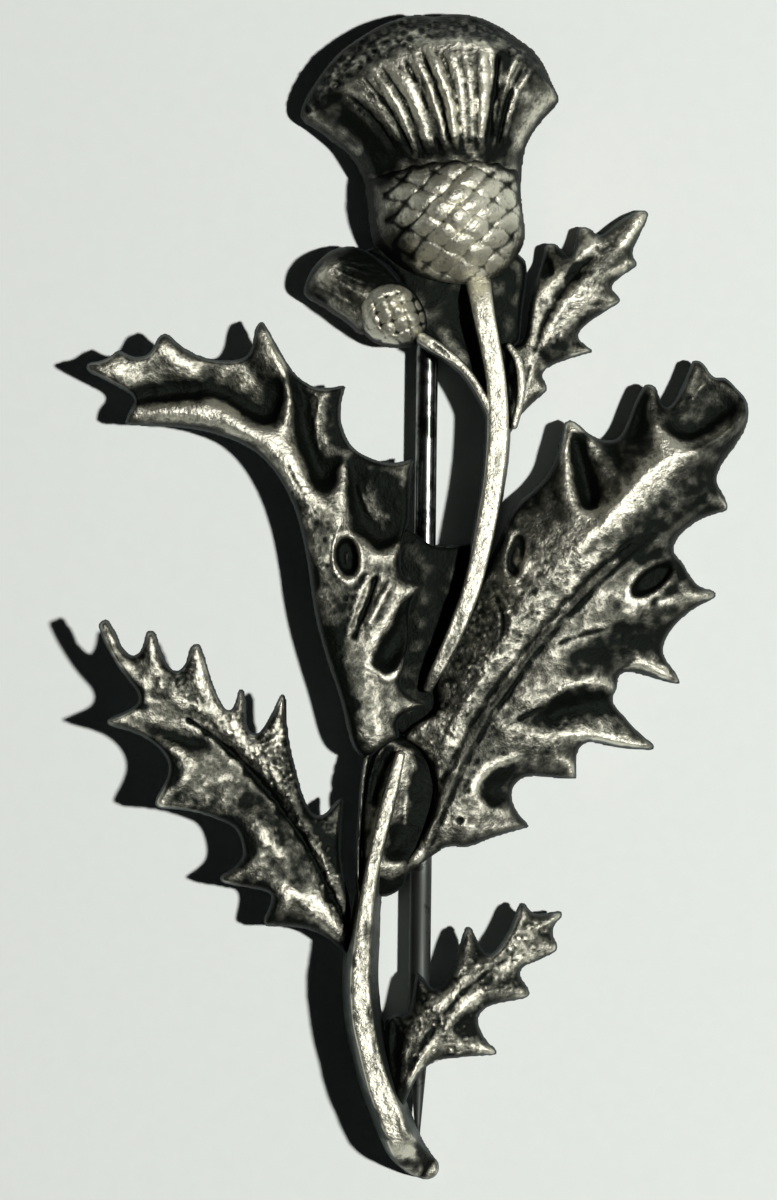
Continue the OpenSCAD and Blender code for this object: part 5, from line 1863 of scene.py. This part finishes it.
# Painted highlight down the cup's middle and painted shade over its left side, which turns from the lamp.
HEAD_CUP_WEAR_AND_LIGHT: WearAndLightRubs = (
    WearAndLightRub((455, 190, 460, 222, 462, 262), 1.6, 0.3), WearAndLightRub((376, 178, 380, 215, 392, 252), 1.3, -0.75),
    WearAndLightRub((400, 182, 404, 215, 414, 250), 0.9, -0.12), WearAndLightRub((385, 172, 420, 170, 450, 166), 0.9, -0.3),
    WearAndLightRub((382, 172, 420, 160, 455, 156, 490, 158, 516, 166), 0.5, -0.5),
    WearAndLightRub((500, 172, 522, 192), 0.8, -0.35), WearAndLightRub((520, 205, 518, 240), 0.4, -0.15),
)
BUD_TUFT_WEAR_AND_LIGHT: WearAndLightRubs = (
    WearAndLightRub((322, 279, 338, 270), 0.3, 0.25), WearAndLightRub((330, 270, 346, 284), 0.3, 0.15),
    WearAndLightRub((350, 256, 372, 268, 392, 285), 1.1, -0.6), WearAndLightRub((345, 280, 360, 296), 0.6, -0.3),
    WearAndLightRub((308, 296, 330, 310, 350, 324), 0.6, -0.25),
    WearAndLightRub((303, 290, 312, 268, 330, 252, 352, 248), 0.8, -0.35),
)
BUD_CUP_WEAR_AND_LIGHT: WearAndLightRubs = (
    WearAndLightRub((384, 308, 396, 312, 406, 318), 0.9, 0.6), WearAndLightRub((356, 302, 372, 289, 392, 283), 0.35, -0.4),
    WearAndLightRub((362, 302, 368, 325, 385, 341), 0.2, 0.2), WearAndLightRub((426, 310, 426, 335), 0.5, -0.3),
)


@dataclass
class Spray:
    """The whole casting: every leaf, stem and flower."""

    leaves: tuple[Relief, ...] = (
        Relief("upper_left_leaf", UPPER_LEFT_OUTLINE, UPPER_LEFT_FOLDS, UPPER_LEFT_STROKES, UPPER_LEFT_DENTS,
               wear_and_light_rubs=UPPER_LEFT_WEAR_AND_LIGHT, patches=UPPER_LEFT_PATCHES, crease=0.17, seed=11),
        Relief("lower_left_leaf", LOWER_LEFT_OUTLINE, LOWER_LEFT_FOLDS, LOWER_LEFT_STROKES,
               wear_and_light_rubs=LOWER_LEFT_WEAR_AND_LIGHT, patches=LOWER_LEFT_PATCHES, seed=12, grain=Grain(pits=0.3)),
        Relief("right_leaf", RIGHT_OUTLINE, RIGHT_FOLDS, RIGHT_STROKES, RIGHT_DENTS,
               wear_and_light_rubs=RIGHT_WEAR_AND_LIGHT, patches=RIGHT_PATCHES, seed=13, step=0.11),
        Relief("upper_right_leaf", UPPER_RIGHT_OUTLINE, UPPER_RIGHT_FOLDS, UPPER_RIGHT_STROKES,
               wear_and_light_rubs=UPPER_RIGHT_WEAR_AND_LIGHT, patches=UPPER_RIGHT_PATCHES, base_wear_and_light=0.46,
               rim_radius=0.34, rim_drop=0.32, seed=14),
        Relief("lower_right_leaf", LOWER_RIGHT_OUTLINE, LOWER_RIGHT_FOLDS, LOWER_RIGHT_STROKES,
               wear_and_light_rubs=LOWER_RIGHT_WEAR_AND_LIGHT, patches=LOWER_RIGHT_PATCHES, base_wear_and_light=0.36, seed=15),
        Relief("stem_sheath", SHEATH_OUTLINE, SHEATH_FOLDS, SHEATH_STROKES,
               wear_and_light_rubs=SHEATH_WEAR_AND_LIGHT, base_wear_and_light=0.48, seed=16),
        # The webs' low plain value keeps them near black: patina, and painted shade for the shade that the
        # head, stems and leaves throw on them.
        Relief("upper_web", UPPER_WEB_OUTLINE, UPPER_WEB_FOLDS, base_wear_and_light=0.07, step=0.15,
               grain=Grain(pits=0.0), seed=17),
        Relief("lower_web", LOWER_WEB_OUTLINE, LOWER_WEB_FOLDS, base_wear_and_light=0.09, step=0.15,
               grain=Grain(pits=0.0), seed=18),
    )
    stems: tuple[Stem, ...] = (
        Stem("main_stem", MAIN_STEM, MAIN_STEM_STROKES, MAIN_STEM_WEAR_AND_LIGHT, seed=21),
        Stem("bud_stem", BUD_STEM, BUD_STEM_STROKES, base_wear_and_light=0.7, seed=22),
        Stem("lower_stem", LOWER_STEM, LOWER_STEM_STROKES, LOWER_STEM_WEAR_AND_LIGHT, base_wear_and_light=0.68, seed=23,
             casting=Casting(draft=0.14, flange=0.08, wall_shade_share=0.85)),
        Stem("leaf_stalk", LEAF_STALK, base_wear_and_light=0.6, seed=24),
        Stem("crescent_vein", CRESCENT, seed=25),
    )
    flowers: tuple[Relief, ...] = (
        Relief("head_tuft", HEAD_TUFT_OUTLINE, HEAD_TUFT_FOLDS, FLORETS,
               wear_and_light_rubs=HEAD_TUFT_WEAR_AND_LIGHT, patches=HEAD_TUFT_PATCHES, swell=0.1, rim_radius=0.3, rim_drop=0.3,
               seed=31, base_wear_and_light=0.54, casting=Casting(weathered=0.8, wall_shade_share=0.3)),
        Relief("head_cup", HEAD_CUP_OUTLINE, HEAD_CUP_FOLDS, BRACTS,
               pads=(HEAD_CUP_PADS,), wear_and_light_rubs=HEAD_CUP_WEAR_AND_LIGHT, swell=0.9, rim_radius=0.25, rim_drop=0.25,
               seed=32, base_wear_and_light=0.92, step=0.085, grain=CUP_GRAIN,
               casting=Casting(weathered=0.7, wall_shade_share=0.3)),
        Relief("bud_tuft", BUD_TUFT_OUTLINE, BUD_TUFT_FOLDS, BUD_STRIPES,
               wear_and_light_rubs=BUD_TUFT_WEAR_AND_LIGHT, swell=0.15, rim_radius=0.3, rim_drop=0.3, seed=33, step=0.08),
        Relief("bud_cup", BUD_CUP_OUTLINE, BUD_CUP_FOLDS, BUD_STROKES,
               pads=(BUD_CUP_PADS,), wear_and_light_rubs=BUD_CUP_WEAR_AND_LIGHT, swell=0.4, rim_radius=0.3, rim_drop=0.3,
               seed=34, base_wear_and_light=0.8, step=0.06, grain=CUP_GRAIN,
               casting=Casting(weathered=1.2, wall_shade_share=0.5)),
    )
    finish: AntiquedPewter = AntiquedPewter()

    def build(self) -> list[Piece]:
        """Makes every piece of the casting and dresses it.

        Returns:
            The pieces.
        """
        pewter = self.finish.make()
        made = []
        for part in (*self.leaves, *self.stems, *self.flowers):
            piece = part.build()
            piece.data.materials.append(pewter)
            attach(piece, "root")
            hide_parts("casting")
            made.append(piece)
        return made


@dataclass
class Findings:
    """The hinge, rivet, pin and catch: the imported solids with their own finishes."""

    pressed: DrawnSteel = DrawnSteel("pressed_findings", (0.42, 0.42, 0.4), (0.12, 0.12, 0.11), 0.36)
    wire: DrawnSteel = DrawnSteel("pin_wire", (0.2, 0.21, 0.2), (0.03, 0.033, 0.03), 0.26,
                                  bump=0.15, clean=0.42, dull_below=-15.0)

    def build(self) -> list[Piece]:
        """Gives each solid its finish.

        Returns:
            The solids.
        """
        pressed, wire = self.pressed.make(), self.wire.make()
        made = []
        for name, finish, slot in (
            ("hinge", pressed, "fittings"),
            ("hinge_rivet", pressed, "fittings"),
            ("catch", pressed, "fittings"),
            ("pin_stem", wire, "pin_steel"),
        ):
            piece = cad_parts[name]
            piece.data.materials.clear()
            piece.data.materials.append(finish)
            made.append(piece)
        return made


@dataclass
class Studio:
    """The floor, the lamp and the camera."""

    paper: Paper = Paper()
    floor_half: float = 400.0
    view_height: float = 72.0
    sensor: float = 36.0
    clip_near: float = 10.0
    clip_far: float = 10000.0
    key_at: Triple = (265.0, -12.0, 500.0)
    key_radius: float = 14.0
    key_power: float = 14.8
    key_colour: Triple = (1.0, 0.99, 0.965)
    world: Triple = (0.008, 0.0085, 0.009)

    def build(self) -> list[Piece]:
        """Lays the floor, hangs the lamp and sets the camera.

        Returns:
            The floor, which is the studio's one mesh.
        """
        floor = self.lay_floor()
        self.hang_lamp()
        self.set_camera()
        return [floor]

    def lay_floor(self) -> Piece:
        """Lays the sheet of paper under the brooch.

        Returns:
            The floor.
        """
        half = self.floor_half * MM
        mesh = bpy.data.meshes.new("floor")
        corners = [(-half, -half, 0), (half, -half, 0), (half, half, 0), (-half, half, 0)]
        mesh.from_pydata(corners, [], [(0, 1, 2, 3)])
        floor = bpy.data.objects.new("floor", mesh)
        bpy.context.scene.collection.objects.link(floor)
        mesh.materials.append(self.paper.make())
        return floor

    def hang_lamp(self) -> None:
        """Hangs the one lamp to the right and sets the faint light of the room."""
        lamp = bpy.data.lights.new("key", "POINT")
        lamp.energy = self.key_power
        lamp.shadow_soft_size = self.key_radius * MM
        lamp.color = self.key_colour
        key = bpy.data.objects.new("key", lamp)
        key.location = Vector(self.key_at) * MM
        bpy.context.scene.collection.objects.link(key)
        world = bpy.data.worlds.new("studio")
        world.use_nodes = True
        world.node_tree.nodes["Background"].inputs["Color"].default_value = (*self.world, 1.0)
        bpy.context.scene.world = world
        bpy.context.scene.view_settings.view_transform = "Standard"

    def set_camera(self) -> None:
        """Sets the camera at the eye that the chart was drawn for."""
        camera = bpy.data.cameras.new("camera")
        camera.sensor_width = self.sensor
        camera.lens = self.sensor * EYE_HEIGHT / self.view_height
        camera.clip_start = self.clip_near * MM
        camera.clip_end = self.clip_far * MM
        eye = bpy.data.objects.new("camera", camera)
        eye.location = Vector((AIM_X, AIM_Y, EYE_HEIGHT)) * MM
        bpy.context.scene.collection.objects.link(eye)
        bpy.context.scene.camera = eye


def main() -> None:
    """Builds the brooch, its findings and the studio in order, and reports each piece with its number of
    faces.
    """
    logging.basicConfig(level=logging.INFO, format="%(name)s %(message)s")
    for assembly in (Spray(), Findings(), Studio()):
        for piece in assembly.build():
            LOG.info("%s: %d faces", piece.name, len(piece.data.polygons))


if __name__ == "__main__":
    main()
